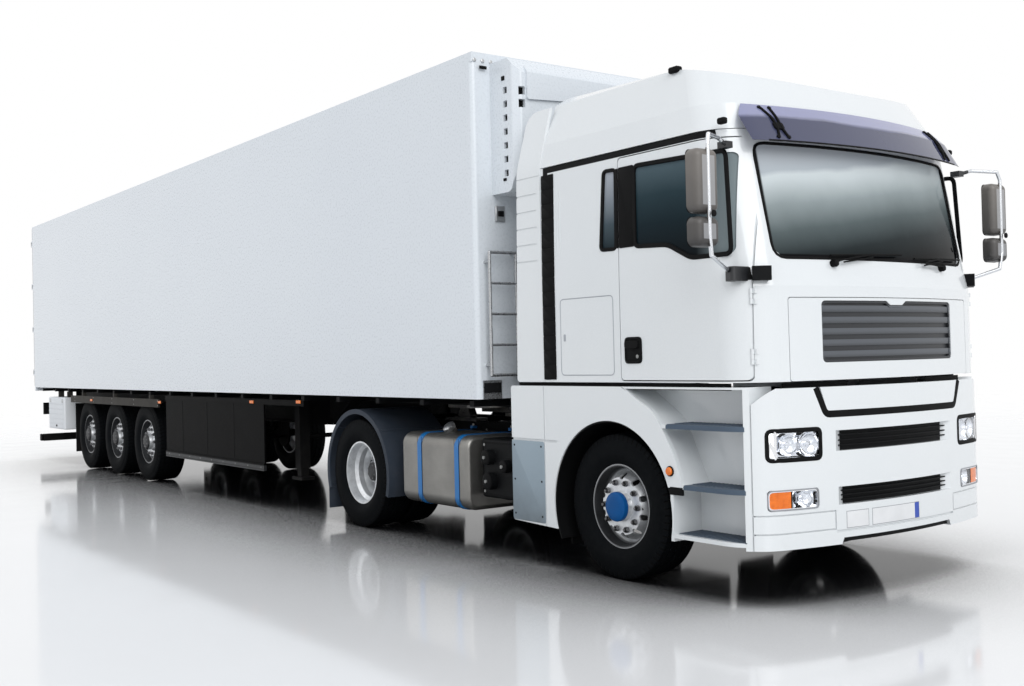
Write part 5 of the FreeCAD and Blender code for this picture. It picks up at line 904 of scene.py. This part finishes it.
# Cab interior: two sprung seats in woven cloth over foam, a bunk with its mattress, and a moulded
# dashboard with instrument hood and steering wheel.
def pillow(form, low, high, finish, puff=5.0, cells=8):
    """A stuffed block between two corners, its faces domed and its edges soft."""
    low, high = Vector(low), Vector(high)
    centre, half = (low + high) / 2, (high - low) / 2
    for axis in range(3):
        u, v = [k for k in range(3) if k != axis]
        for end in (-1, 1):
            points = []
            for i in range(cells + 1):
                for j in range(cells + 1):
                    p = [0, 0, 0]
                    p[axis], p[u], p[v] = end, 2 * i / cells - 1, 2 * j / cells - 1
                    norm = sum(abs(c) ** puff for c in p) ** (1 / puff)
                    points.append(centre + Vector([c / norm * h for c, h in zip(p, half)]))
            row = cells + 1
            faces = [[i * row + j, i * row + j + 1, (i + 1) * row + j + 1, (i + 1) * row + j]
                     for i in range(cells) for j in range(cells)]
            form.take(points, faces, finish)
    bmesh.ops.remove_doubles(form.mesh, verts=form.mesh.verts, dist=0.00005)


cloth = sprayed("seat_cloth", (0.030, 0.033, 0.042, 1), (0.045, 0.050, 0.062, 1), rough=(0.8, 0.95),
                grain=0.002, depth=0.0008, patch=0.1)
vinyl = sprayed("trim_vinyl", (0.085, 0.088, 0.095, 1), (0.11, 0.113, 0.12, 1), rough=(0.5, 0.65),
                grain=0.002, depth=0.0004, patch=0.3)
ticking = sprayed("mattress_ticking", (0.34, 0.36, 0.40, 1), (0.28, 0.30, 0.34, 1),
                  rough=(0.8, 0.95), grain=0.003, depth=0.0008, patch=0.15)
SEAT_Y, BACK_TOP, PAD_HEIGHT = 0.62, 2.46, 0.105
for name, side in SIDES:
    y = side * SEAT_Y
    seat = Form()
    pillow(seat, at(-1.335, y - 0.245, 1.765), at(-0.805, y + 0.245, 1.880), cloth)
    for wing in (-0.225, 0.225):
        pillow(seat, at(-1.30, y + wing - 0.035, 1.80), at(-0.84, y + wing + 0.035, 1.900), vinyl)
    for k in range(6):
        top, x = BACK_TOP - PAD_HEIGHT * k, -1.385 + 0.014 * k
        pillow(seat, at(x - 0.045, y - 0.215, top - PAD_HEIGHT), at(x + 0.045, y + 0.215, top), cloth)
    pillow(seat, at(-1.445, y - 0.125, 2.53), at(-1.355, y + 0.125, 2.70), cloth)
    seat.show("seat_pads_" + name, "cab", slot="interior")
    # The seat's foot, its bellows, the pan, the head rest's two posts and the back's shell.
    shell = Form()
    shell.block(at(-1.28, y - 0.17, 1.427), at(-0.87, y + 0.17, 1.56), vinyl, 0.02)
    for k in range(5):
        rear, foot = -1.27 + 0.004 * (k % 2), 1.565 + 0.038 * k
        shell.block(at(rear, y - 0.165, foot), at(-0.88, y + 0.165, foot + 0.027), rubber_black, 0.012)
    shell.block(at(-1.335, y - 0.22, 1.752), at(-0.815, y + 0.22, 1.775), vinyl, 0.008)
    for post in (y - 0.05, y + 0.05):
        shell.tube([at(-1.425, post, 2.40), at(-1.402, post, 2.60)], 0.008, zinc)
    shell.block(at(-1.432, y - 0.20, 1.83), at(-1.418, y + 0.20, 2.44), vinyl, 0.006)
    shell.show("seat_frame_" + name, "cab", slot="interior")
bed = Form()
for k in range(7):
    y = -1.085 + 0.31 * k
    pillow(bed, at(-2.155, y, 1.930), at(-1.565, y + 0.31, 2.043), ticking, 6.0)
bed.show("bunk_mattress", "cab", slot="interior")
cabin = Form()
cabin.block(at(-2.158, -1.089, 1.427), at(-1.562, 1.089, 1.925), vinyl, 0.02)
for y in (-0.55, 0.0, 0.55):
    drawer = rectangle(y - 0.25, y + 0.25, 1.48, 1.87)
    cabin.trim(lambda u, v, out: at(-1.562 + out, u, v), drawer, 0.03, 0.008, 0.003, rubber_black)
# The panel behind the grille, the dashboard, the instruments under their hood, and the console.
cabin.patch(lambda y, z, out=0.0: cab_skin(y, z, out - 0.10), -0.95, 0.95, 1.70, 2.04, -0.06, 0.06, vinyl)
cabin.block(at(-0.50, -1.00, 1.78), at(-0.22, 1.00, 2.10), vinyl, 0.05)
cabin.block(at(-0.54, 0.36, 2.02), at(-0.30, 0.88, 2.19), rubber_black, 0.05)
cabin.block(at(-0.545, 0.40, 2.05), at(-0.538, 0.84, 2.16), door_glass, 0.003)
cabin.block(at(-0.515, -0.24, 1.84), at(-0.498, 0.24, 2.08), rubber_black, 0.01)
cabin.block(at(-0.42, -0.28, 1.427), at(-0.20, 0.28, 1.80), vinyl, 0.03)
# Air vents, a row of switches, and the steering wheel on its column.
for y in (-0.90, -0.40, 0.30, 0.92):
    cabin.turned(at(-0.50, y, 1.98), (-1, 0, 0), disc(0.045, 0.012), rubber_black, 28)
for k in range(8):
    cabin.block(at(-0.519, -0.20 + 0.05 * k, 1.87), at(-0.512, -0.17 + 0.05 * k, 1.89), door_glass, 0.002)
hub, lean = at(-0.700, 0.62, 2.233), math.radians(-38.3)
axis = Vector((math.sin(lean), 0, math.cos(lean)))
right, fore = Vector((0, 1, 0)), Vector((math.cos(lean), 0, -math.sin(lean)))
rim = [right * u + fore * v for u, v in circle(1, 48)]
cabin.swept([hub + spoke * 0.215 for spoke in rim], rim, circle(0.0135, 10), rubber_black, True)
boss = [(0, 0.05), (0.02, 0.075), (0.036, 0.07), (0.042, 0.03), (0.042, 0.001)]
cabin.turned(hub - axis * 0.03, axis, boss, rubber_black, 28)
for spoke in rim[::12]:
    cabin.tube([hub + spoke * 0.05, hub + spoke * 0.21], 0.011, rubber_black)
cabin.tube([hub - axis * 0.02, at(-0.50, 0.62, 2.07)], 0.034, vinyl, 16)
cabin.show("dashboard_and_bunk_base", "cab", slot="interior", replaces=("cab_interior",))

# Wheels: pressed steel discs welded into rolled rims, silver stove enamel, with ten nuts. The front
# hubs carry blue plastic caps. The tyres are steel radials with four grooves and cut shoulders.
BEAD_RADIUS = 0.286
TRACTOR_TYRE, TRAILER_TYRE = (0.507, 0.1575, 0.112), (0.531, 0.1925, 0.146)
NUT_CIRCLE = 0.1675


def distance(tree, first, second):
    """How far a place lies from an axis, by its two distances."""
    squares = [combine(tree, "MULTIPLY", value, value) for value in (first, second)]
    return combine(tree, "SQRT", combine(tree, "ADD", *squares), 0)


def rim_finish(name, x, z):
    """Silver enamel for the wheels of one axle line, with painted shade in the rim's well, and on the
    drive wheels towards the dish's middle.
    """
    finish, tree, shader, place = new_finish(name)
    ahead, _, height = axes_of(tree, place)
    ahead, height = combine(tree, "SUBTRACT", ahead, NOSE + x), combine(tree, "SUBTRACT", height, z)
    radius = distance(tree, ahead, height)
    # Painted shade: the well between disc and flange turns dark and the flange stays half lit. A noise
    # mottles it.
    unshaded_rim = combine(tree, "MAXIMUM", spread(tree, radius, 1, 0, 0.245, 0.262),
                    spread(tree, radius, 0, 0.4, 0.280, 0.290))
    if name == "rim_drive":
        unshaded_rim = spread(tree, radius, 0.5, 1, 0.150, 0.235)
    shade_and_mottle = combine(tree, "MULTIPLY", unshaded_rim, spread(tree, speckle(tree, place, 0.06), 0.75, 1.0))
    enamel = blend_colours(tree, shade_and_mottle, (0.045, 0.047, 0.050, 1), (0.76, 0.78, 0.80, 1))
    feed(tree, shader, "Base Color", enamel)
    grain = speckle(tree, place, 0.004)
    feed(tree, shader, "Roughness", spread(tree, grain, 0.26, 0.40))
    dimples(tree, shader, grain, 0.0002, 0.4)
    shader.inputs["Metallic"].default_value = 0.6
    return finish


rubber, tree, shader, place = new_finish("tyre_rubber")
ahead, across, height = axes_of(tree, place)
angle = combine(tree, "MULTIPLY", combine(tree, "ARCTAN2", height, ahead), 64 / math.tau)
radius = distance(tree, ahead, height)
off_middle = combine(tree, "ABSOLUTE", across, 0)
slant = combine(tree, "ADD", angle, combine(tree, "MULTIPLY", off_middle, 6.0))
cut = within(tree, combine(tree, "FRACT", combine(tree, "ADD", slant, 40.0), 0), 0.30, 0.48, 0.06)
ribs = combine(tree, "MAXIMUM", spread(tree, off_middle, 0, 1, 0.100, 0.106),
               within(tree, off_middle, 0.030, 0.075))
crown = spread(tree, radius, 0, 1, 0.462, 0.470)
sipes = combine(tree, "MULTIPLY", combine(tree, "MULTIPLY", cut, ribs), crown)
dust = spread(tree, speckle(tree, place, 0.05), 0.0, 0.8)
colour = blend_colours(tree, dust, (0.0032, 0.0040, 0.0050, 1), (0.0055, 0.0062, 0.0070, 1))
# The cuts in the crown are painted a touch darker, as painted shade inside them.
feed(tree, shader, "Base Color", blend_colours(tree, sipes, colour, (0.003, 0.003, 0.003, 1)))
feed(tree, shader, "Roughness", spread(tree, speckle(tree, place, 0.004), 0.55, 0.75))
dimples(tree, shader, combine(tree, "SUBTRACT", 1.0, sipes), 0.006, 0.8)
shader.inputs["Specular IOR Level"].default_value = 0.04


def tyre_profile(radius, half, bead_half):
    """Half of a tyre's closed section from the middle of the tread round the outer side to the bead."""
    crown, bead, tread = half * 0.86, BEAD_RADIUS, []
    for spot in (0.20, 0.60):
        y = crown * spot
        top = radius - 0.008 * spot * spot
        groove = ((-0.0055, 0), (-0.004, -0.013), (0.004, -0.013), (0.0055, 0))
        tread += [(y + across, top + deep) for across, deep in groove]
    shoulder = [(crown, radius - 0.008), (half * 0.905, radius - 0.018),
                (half * 0.935, radius - 0.042), (half * 0.945, radius - 0.060),
                (half * 0.972, radius - 0.072), (half * 0.985, radius - 0.095)]
    wall = [(half, bead + 0.105), (half * 0.988, bead + 0.070), (half * 0.975, bead + 0.064),
            (half * 0.94, bead + 0.045), (bead_half + 0.022, bead + 0.022),
            (bead_half + 0.012, bead + 0.005), (bead_half, bead)]
    return tread + shoulder + wall


def tyre_mesh(name, size, *shifts):
    """One tyre, or twins side by side, from a size of (radius, half width, half width at the bead)."""
    form = Form()
    outer = tyre_profile(*size)
    profile = [(-y, r) for y, r in reversed(outer)] + outer
    for shift in shifts:
        form.ring((0, shift, 0), profile, rubber, 120)
    return form.finished(name)


def nut(form, spot, out, base, finish):
    """A wheel nut on its stud."""
    hexagon = [(base, 0.0205), (base + 0.004, 0.0215), (base + 0.028, 0.0195)]
    stud = [(base + 0.02, 0.0105), (base + 0.040, 0.0100), (base + 0.042, 0.001)]
    form.turned(spot, (0, out, 0), hexagon, finish, 6)
    form.turned(spot, (0, out, 0), stud, finish, 12)


hub_blue = sprayed("hub_blue", (0.002, 0.080, 0.27, 1), (0.002, 0.068, 0.23, 1), rough=(0.3, 0.42),
                   grain=0.003, depth=0.0002, patch=0.1, glow=0.15)
hub_iron = filmed("hub_iron", (0.09, 0.092, 0.096, 1), ROAD_FILM, low=0.3, high=1.0,
                  rough=(0.4, 0.6), grain=0.004, metal=0.6)
nut_steel = sprayed("nut_steel", (0.16, 0.16, 0.165, 1), (0.11, 0.11, 0.115, 1), rough=(0.3, 0.5),
                    grain=0.004, depth=0.0002, patch=0.03, metal=0.8)
front_tyre = tyre_mesh("front_tyre", TRACTOR_TYRE, 0.0)
trailer_tyre = tyre_mesh("trailer_tyre", TRAILER_TYRE, 0.0)
for name, side in SIDES:
    twin_tyre = tyre_mesh("twin_tyre_" + name, TRACTOR_TYRE, 0.0, -side * 0.342)
    # Each wheel: its axle line, place, tyre, how far out its disc and hub stand, and its cap's radius.
    wheels = [("front", -1.475, 1.020, TRACTOR_TYRE[0], front_tyre, 0.112, 0.165, 0.1035),
              ("drive", -5.075, 1.080, TRACTOR_TYRE[0], twin_tyre, -0.157, -0.006, 0.088)]
    for k in range(3):
        wheels.append(("trailer_%d" % (k + 1), -11.04 - 1.31 * k, 1.035, TRAILER_TYRE[0], trailer_tyre,
                       0.118, 0.178, 0.098))
    for line, x, y, radius, tyre, face, hub_out, cap in wheels:
        label = line + "_" + name
        rim_silver = bpy.data.materials.get("rim_" + line) or rim_finish("rim_" + line, x, radius)
        paint_node("rim_" + label, rim_silver)
        body, outwards = "wheel_" + label, (0, side, 0)
        centre = at(x, side * y, radius)
        place_mesh("tread_" + label, tyre, body, ("tyre_" + label,), centre)
        hub = Form()
        for u, v in circle(NUT_CIRCLE, 10):
            nut(hub, centre + Vector((u, 0, v)), side, face - 0.002, nut_steel)
        profile = [(hub_out - 0.02, cap * 0.99), (hub_out + 0.002, cap), (hub_out + 0.012, cap * 0.97),
                   (hub_out + 0.020, cap * 0.85), (hub_out + 0.025, cap * 0.5), (hub_out + 0.026, 0.001)]
        hub.turned(centre, outwards, profile, hub_blue if line == "front" else hub_iron, 40)
        if line != "front":
            for u, v in circle(cap * 0.72, 8, 0.5):
                spot = centre + Vector((u, side * (hub_out + 0.020), v))
                hub.turned(spot, outwards, disc(0.0085, 0.009), nut_steel, 6)
        ends = ((0.215, 0.004), (0.245, 0.030))
        valve = [centre + Vector((reach, side * (face + out), 0)) for reach, out in ends]
        hub.tube(valve, 0.005, rubber_black, 8)
        hub.show("hub_" + label, body, slot="rim_silver")

# Trailer frame: I-beams and cross bars of welded steel, sprayed black all over. It holds the coupling
# plate with the kingpin, the landing legs and the under-run bar.
paint_node("trailer_frame", chassis_paint)

# Side guards and rear box: black panels over an extruded aluminium lower rail, on posts from the cross
# bars. The box for pallets is moulded in white. The marker lamps are clipped to the rails.
RAIL_REAR, PALLET_BOX_FRONT, GUARD_FACE = NOSE - 10.34, NOSE - 14.68, 1.292
side_rail, tree, shader, place = new_finish("side_rail")
ahead, _, height = axes_of(tree, place)
dusty = spread(tree, speckle(tree, place, 0.3), 0, 1)
black = blend_colours(tree, dusty, (0.0016, 0.0017, 0.0019, 1), (0.0028, 0.0028, 0.0030, 1))
brown = blend_colours(tree, dusty, (0.040, 0.038, 0.034, 1), (0.056, 0.052, 0.047, 1))
silver = blend_colours(tree, dusty, (0.06, 0.062, 0.065, 1), (0.04, 0.042, 0.044, 1))
bright = combine(tree, "MULTIPLY", spread(tree, height, 1, 0, 0.455, 0.457),
                 spread(tree, ahead, 0, 1, NOSE - 10.2, NOSE - 10.1))
colour = blend_colours(tree, bright, black, silver)
rear_rail = combine(tree, "MULTIPLY", spread(tree, ahead, 1, 0, RAIL_REAR, RAIL_REAR + 0.02),
                    spread(tree, height, 0, 1, 1.0, 1.005))
colour = blend_colours(tree, rear_rail, colour, brown)
chest = spread(tree, ahead, 1, 0, PALLET_BOX_FRONT, PALLET_BOX_FRONT + 0.02)
chest = combine(tree, "MULTIPLY", chest, spread(tree, height, 1, 0, 1.0765, 1.078))
feed(tree, shader, "Base Color", blend_colours(tree, chest, colour, (0.74, 0.76, 0.78, 1)))
drawn = speckle(tree, place, 0.003, (0.1, 1, 1))
feed(tree, shader, "Roughness", spread(tree, drawn, 0.36, 0.5))
feed(tree, shader, "Metallic", combine(tree, "MULTIPLY", bright, 0.8))
shader.inputs["Specular IOR Level"].default_value = 0.02
paint_node("side_equipment", side_rail)
alloy = sprayed("alloy_extrusion", (0.52, 0.53, 0.54, 1), (0.44, 0.45, 0.46, 1), rough=(0.3, 0.45),
                grain=0.003, depth=0.0002, patch=0.4, metal=0.8, stretch=(0.1, 1, 1))
guards = Form()
for side in (-1, 1):
    face = flank(side, GUARD_FACE)
    # Marker lamps in their holders.
    for x, z in ((-13.24, 1.06), (-10.28, 1.08), (-7.36, 1.135), (-6.20, 1.155)):
        guards.block(face(x - 0.058, z - 0.022, -0.012), face(x + 0.058, z + 0.022, 0.002), rubber_black,
                     0.004)
        guards.block(face(x - 0.050, z - 0.016, 0.0), face(x + 0.050, z + 0.016, 0.0075), amber, 0.004)
    for x in (-14.2, -13.24, -12.35, -11.4, -10.45):
        for z in (1.035, 1.095):
            guards.turned(face(x + 0.09, z, -0.001), (0, side, 0), disc(0.008, 0.005), zinc, 12)
    # Seams between the black panels, the lower rail's screws and grooves, and the box's latch and hinges.
    for x in (-9.5, -8.7, -7.9):
        guards.patch(face, x - 0.004, x + 0.004, 0.48, 1.108, -0.013, 0.003, rubber_black)
    for k in range(9):
        guards.turned(face(-9.95 + 0.35 * k, 0.434, -0.001), (0, side, 0), disc(0.007, 0.005), zinc, 12)
    for z in (0.413, 0.452):
        guards.patch(face, -10.08, -7.08, z - 0.002, z + 0.002, 0.0, 0.0022, rubber_black)
    for x in (-15.52, -14.82):
        guards.block(face(x - 0.03, 0.99, -0.004), face(x + 0.03, 1.05, 0.005), alloy, 0.004)
    guards.block(face(-15.20, 0.60, -0.004), face(-15.14, 0.63, 0.005), rubber_black, 0.003)
guards.show("side_guard_fittings", "trailer", slot="side_guard")

# The insulated box: flat panels of foam between gelcoated glass-fibre skins, bonded and joined with
# rounded corner sections, on a ribbed alloy floor. The ladder and scuff bands are bare alloy.
BOX_REAR, BOX_FRONT, WALL_INSIDE = -16.40, -3.05, 1.238
BARE_AHEAD_OF, BARE_BEHIND = NOSE - 2.9585, NOSE - 16.5445


def panel_finish(name, silver_mask=None):
    """Gelcoat with a faint fibre texture, bare alloy where a mask says so."""
    finish, tree, shader, place = new_finish(name)
    cloud = spread(tree, speckle(tree, place, 1.8), 0, 1)
    colour = blend_colours(tree, cloud, (0.685, 0.725, 0.76, 1), (0.665, 0.705, 0.745, 1))
    if silver_mask:
        mask = silver_mask(tree, place)
        colour = blend_colours(tree, mask, colour, (0.42, 0.43, 0.44, 1))
        feed(tree, shader, "Metallic", combine(tree, "MULTIPLY", mask, 0.8))
    feed(tree, shader, "Base Color", colour)
    fine = speckle(tree, place, 0.02)
    feed(tree, shader, "Roughness", spread(tree, fine, 0.24, 0.34))
    dimples(tree, shader, fine, 0.00003, 0.2)
    shader.inputs["Coat Weight"].default_value = 0.35
    return finish


panel_white = panel_finish("panel_white")
for name in ("box_side_walls", "box_roof", "cooling_unit"):
    paint_node(name, panel_white)
paint_node("box_front_wall", panel_finish("front_wall", lambda tree, place: spread(
    tree, axes_of(tree, place)[0], 0, 1, BARE_AHEAD_OF, BARE_AHEAD_OF + 0.001)))
rear_hardware = panel_finish("rear_hardware", lambda tree, place: spread(
    tree, axes_of(tree, place)[0], 1, 0, BARE_BEHIND - 0.0005, BARE_BEHIND))
for name in ("rear_frame", "rear_door_right", "rear_door_left"):
    paint_node(name, rear_hardware)
paint_node("box_floor", alloy)
box = Form()
for side in (-1, 1):
    inside = side * WALL_INSIDE
    box.block(at(BOX_REAR, inside, 1.362), at(BOX_FRONT, inside - side * 0.004, 1.66), alloy, 0.001)
    for k in range(20):
        y = side * (0.03 + 0.0608 * k)
        box.block(at(BOX_REAR, y, 1.3605), at(BOX_FRONT - 0.01, y + side * 0.034, 1.378), alloy, 0.002)
    for z in (1.80, 2.60, 3.40):
        box.block(at(BOX_REAR, inside, z), at(BOX_FRONT, inside - side * 0.012, z + 0.035), alloy, 0.003)
    box.block(at(-2.944, side * 1.235, 3.86), at(-2.932, side * 1.165, 3.885), rubber_black, 0.004)
    box.block(at(-2.944, side * 1.255, 1.28), at(-2.938, side * 1.09, 1.36), cast_iron, 0.004)
# On the front wall: the socket panel, a latch, three rivets, and the sockets for air and current.
box.block(at(-2.958, -0.34, 1.42), at(-2.925, 0.34, 1.66), rubber_black, 0.012)
box.block(at(-2.961, -1.105, 2.650), at(-2.940, -1.010, 2.775), alloy, 0.010)
box.block(at(-2.942, -1.085, 2.690), at(-2.928, -1.030, 2.735), rubber_black, 0.006)
for y in (-1.27, -1.19, -1.11):
    box.turned(at(-2.960, y, 3.930), (1, 0, 0), disc(0.016, 0.010), alloy, 16)
socket = [(0, 0.032), (0.022, 0.034), (0.028, 0.028), (0.030, 0.001)]
for k, finish in enumerate((tail_red, amber, rubber_black, rubber_black, rubber_black)):
    box.turned(at(-2.930, -0.26 + 0.13 * k, 1.54), (1, 0, 0), socket, finish, 28)
# Lamps under the roof.
for x in (-5.6, -9.7, -13.8):
    box.block(at(x - 0.30, -0.07, 3.885), at(x + 0.30, 0.07, 3.914), clear_cover, 0.012)
box.show("box_linings_and_sockets", "trailer", slot="panel_white")

# Rear doors: the same panels in rubber seals, held by galvanised lock bars with cams, guides and
# folding handles. The lamp units and buffers are screwed to the portal and the under-run bar.
PORTAL_LAMPS = ((0.785, 0.95, tail_red), (0.955, 1.10, amber), (1.105, 1.215, tail_red))
TAIL_LAMPS = ((0.61, 0.71, clear_cover), (0.72, 0.84, amber), (0.85, 0.99, tail_red),
              (1.0, 1.11, tail_red))
door_face = lambda y, z, out=0.0: at(-16.544 - out, y, z)
rear = Form()
for name, side in SIDES:
    leaf = Form()
    leaf.trim(door_face, rectangle(side * 0.012, side * 1.276, 1.242, 3.978), 0.02, 0.016, 0.0045,
              rubber_black)
    # The guides and cams of the two lock bars, and the catches of their handles.
    for y in (0.33, 0.82):
        bar = side * y
        for z in (1.29, 2.13, 3.03, 3.90):
            leaf.block(at(-16.570, bar - 0.040, z - 0.012), at(-16.548, bar + 0.040, z + 0.012), zinc,
                       0.004)
        for z in (1.262, 3.955):
            leaf.block(at(-16.572, bar - 0.028, z - 0.020), at(-16.540, bar + 0.028, z + 0.020), zinc,
                       0.006)
        leaf.block(at(-16.574, side * (y - 0.262), 2.108), at(-16.566, side * (y - 0.215), 2.156), zinc,
                   0.006)
    leaf.show("door_seals_" + name, "trailer_door_" + name, slot="panel_white")
    # Lamps in the portal and in holders below it, and rubber strips on the portal and the under-run bar.
    for y0, y1, lens in PORTAL_LAMPS:
        rear.block(at(-16.524, side * y0, 1.179), at(-16.518, side * y1, 1.221), lens, 0.003)
    rear.block(at(-16.462, side * 0.60, 0.795), at(-16.428, side * 1.12, 0.925), rubber_black, 0.008)
    for y0, y1, lens in TAIL_LAMPS:
        rear.block(at(-16.470, side * y0, 0.805), at(-16.460, side * y1, 0.915), lens, 0.006)
    rear.block(at(-16.553, side * 1.05, 1.172), at(-16.520, side * 1.24, 1.176), rubber_black, 0.001)
    rear.block(at(-16.545, side * 1.215, 0.302), at(-16.44, side * 1.181, 0.418), rubber_black, 0.008)
rear.show("rear_lamps", "trailer", slot="lamp")

# Cooling unit: a moulded cover in the box's white over the condenser and fans, with black mesh in its
# vents, on a welded frame bolted through the front wall.
FLANK_VENT_FOOT, FLANK_VENT_STEP = 2.985, 0.109
FRONT_VENT_FOOT, FRONT_VENT_STEP = 3.180, 0.062
unit = Form()
for side in (-1, 1):
    for k in range(7):
        z = FLANK_VENT_FOOT + FLANK_VENT_STEP * k
        unit.block(at(-2.785, side * 1.093, z + 0.001), at(-2.735, side * 1.096, z + 0.051), rubber_black,
                   0.001)
        for j in range(3):
            bar = z + 0.011 + 0.013 * j
            unit.block(at(-2.785, side * 1.096, bar), at(-2.735, side * 1.102, bar + 0.004), rubber_black,
                       0.001)
    for z in (3.510, 3.610):
        unit.block(at(-2.650, side * 1.033, z + 0.001), at(-2.646, side * 1.083, z + 0.063), rubber_black,
                   0.001)
        for j in range(4):
            bar = z + 0.010 + 0.013 * j
            unit.block(at(-2.646, side * 1.033, bar), at(-2.638, side * 1.083, bar + 0.004), rubber_black,
                       0.001)
    for foot, top in ((2.95, 2.973), (3.745, 3.78)):
        unit.block(at(-2.80, side * 1.119, foot), at(-2.76, side * 1.126, top), rubber_black, 0.003)
for k in range(6):
    z = FRONT_VENT_FOOT + FRONT_VENT_STEP * k
    unit.block(at(-2.6335, -0.639, z + 0.001), at(-2.6315, 0.639, z + 0.034), rubber_black, 0.0005)
    for j in range(32):
        y = -0.62 + 0.04 * j
        unit.block(at(-2.6315, y - 0.002, z + 0.001), at(-2.622, y + 0.002, z + 0.034), rubber_black,
                   0.0005)
unit.block(at(-2.83, -0.62, 2.856), at(-2.72, 0.62, 2.866), rubber_black, 0.004)
unit.show("unit_vent_mesh", "trailer", slot="unit")

# The floor: a pale glossy studio sweep that fades into the white background. It keeps the lorry's
# shadow, and a painted shadow darkens its colour and dulls its gloss where the lorry's underside closes
# off the light.
FLOOR_HALF = 45.0
floor_mesh = bpy.data.meshes.new("studio_floor")
corners = [(u, v, 0) for u, v in rectangle(-FLOOR_HALF, FLOOR_HALF, -FLOOR_HALF, FLOOR_HALF)]
floor_mesh.from_pydata(corners, [], [(0, 1, 2, 3)])
studio_floor = bpy.data.objects.new("studio_floor", floor_mesh)
bpy.context.scene.collection.objects.link(studio_floor)
studio_floor.location.z = -0.002
floor_paper, tree, shader, place = new_finish("floor_paper")
cover = tree.nodes.new("ShaderNodeAmbientOcclusion")
cover.samples = 8
cover.inputs["Distance"].default_value = 3.0
cover.inputs["Normal"].default_value = (0.62, 0.42, 0.66)
# Painted shadow: where the lorry hides the sky, tilted towards the front right, the floor's colour turns
# dark.
open_sky = spread(tree, cover.outputs["AO"], 0.0, 1.0, 0.45, 0.81)
floor_tone = spread(tree, speckle(tree, place, 3.0), 0.0, 1.0)
pale = blend_colours(tree, floor_tone, (0.86, 0.86, 0.86, 1), (0.88, 0.88, 0.88, 1))
feed(tree, shader, "Base Color", blend_colours(tree, open_sky, (0.012, 0.012, 0.013, 1), pale))
feed(tree, shader, "Roughness", spread(tree, speckle(tree, place, 0.6), 0.07, 0.11))
feed(tree, shader, "Specular IOR Level", spread(tree, open_sky, 0.04, 0.5, 0, 1))
reach = tree.nodes.new("ShaderNodeVectorMath")
reach.operation = "LENGTH"
tree.links.new(place, reach.inputs[0])
fade = spread(tree, reach.outputs["Value"], 0.0, 1.0, 14.0, 30.0)
clear = tree.nodes.new("ShaderNodeBsdfTransparent")
edge = tree.nodes.new("ShaderNodeMixShader")
tree.links.new(fade, edge.inputs["Fac"])
tree.links.new(shader.outputs["BSDF"], edge.inputs[1])
tree.links.new(clear.outputs["BSDF"], edge.inputs[2])
tree.links.new(edge.outputs["Shader"], tree.nodes["Material Output"].inputs["Surface"])
studio_floor.data.materials.append(floor_paper)
studio_floor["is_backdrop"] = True

# Studio light: an even room whose upper half is bright, a broad key from the front right and above, and
# a weak fill. The camera, glass and glossy surfaces see a plain white backdrop.
scene = bpy.context.scene
scene.view_settings.view_transform = "Standard"
room = bpy.data.worlds.new("studio_room")
scene.world = room
room.use_nodes = True
room_tree = room.node_tree
sky = room_tree.nodes["Background"]
sky.inputs["Color"].default_value = (0.92, 0.95, 1.0, 1)
gaze = room_tree.nodes.new("ShaderNodeTexCoord").outputs["Generated"]
lift = spread(room_tree, axes_of(room_tree, gaze)[2], 0.66, 0.70, 0.0, 0.8)
room_tree.links.new(lift, sky.inputs["Strength"])
backdrop = room_tree.nodes.new("ShaderNodeBackground")
backdrop.inputs["Color"].default_value = (1, 1, 1, 1)
backdrop.inputs["Strength"].default_value = 1.0
ray = room_tree.nodes.new("ShaderNodeLightPath")
shown = combine(room_tree, "MAXIMUM", ray.outputs["Is Camera Ray"], ray.outputs["Is Transmission Ray"])
shown = combine(room_tree, "MAXIMUM", shown, ray.outputs["Is Glossy Ray"])
pick = room_tree.nodes.new("ShaderNodeMixShader")
room_tree.links.new(shown, pick.inputs["Fac"])
room_tree.links.new(sky.outputs["Background"], pick.inputs[1])
room_tree.links.new(backdrop.outputs["Background"], pick.inputs[2])
room_tree.links.new(pick.outputs["Shader"], room_tree.nodes["World Output"].inputs["Surface"])


def studio_sun(name, towards, strength, softness):
    """A far soft lamp shining towards a direction."""
    lamp = bpy.data.lights.new(name, "SUN")
    lamp.energy = strength
    lamp.angle = math.radians(softness)
    light = bpy.data.objects.new(name, lamp)
    light.rotation_mode = "QUATERNION"
    light.rotation_quaternion = Vector(towards).to_track_quat("-Z", "Y")
    scene.collection.objects.link(light)


studio_sun("key_light", (-0.85, 0.30, -0.60), 1.7, 50)
studio_sun("side_fill", (0.30, 0.80, -0.75), 0.25, 60)

# The camera stands at head height off the lorry's front right corner. Its place, heading and lens were
# fitted to the box's size, the tractor's width and the tyres.
EYE = Vector((12.9253, -6.5204, 1.5632))
HEADING, PITCH, ROLL = math.radians(143.8041), math.radians(0.6733), math.radians(-1.3527)
LENS_MM = 40.95
flat = Vector((math.cos(HEADING), math.sin(HEADING), 0))
ahead = flat * math.cos(PITCH) + Vector((0, 0, math.sin(PITCH)))
level = Vector((math.sin(HEADING), -math.cos(HEADING), 0))
upright = level.cross(ahead)
across = level * math.cos(ROLL) + upright * math.sin(ROLL)
up = upright * math.cos(ROLL) - level * math.sin(ROLL)
camera_data = bpy.data.cameras.new("photographer")
camera_data.lens = LENS_MM
camera_data.sensor_width = 36.0
camera_data.clip_end = 400.0
camera = bpy.data.objects.new("photographer", camera_data)
camera.matrix_world = Matrix.Translation(EYE) @ Matrix((across, up, -ahead)).transposed().to_4x4()
scene.collection.objects.link(camera)
scene.camera = camera

low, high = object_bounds()
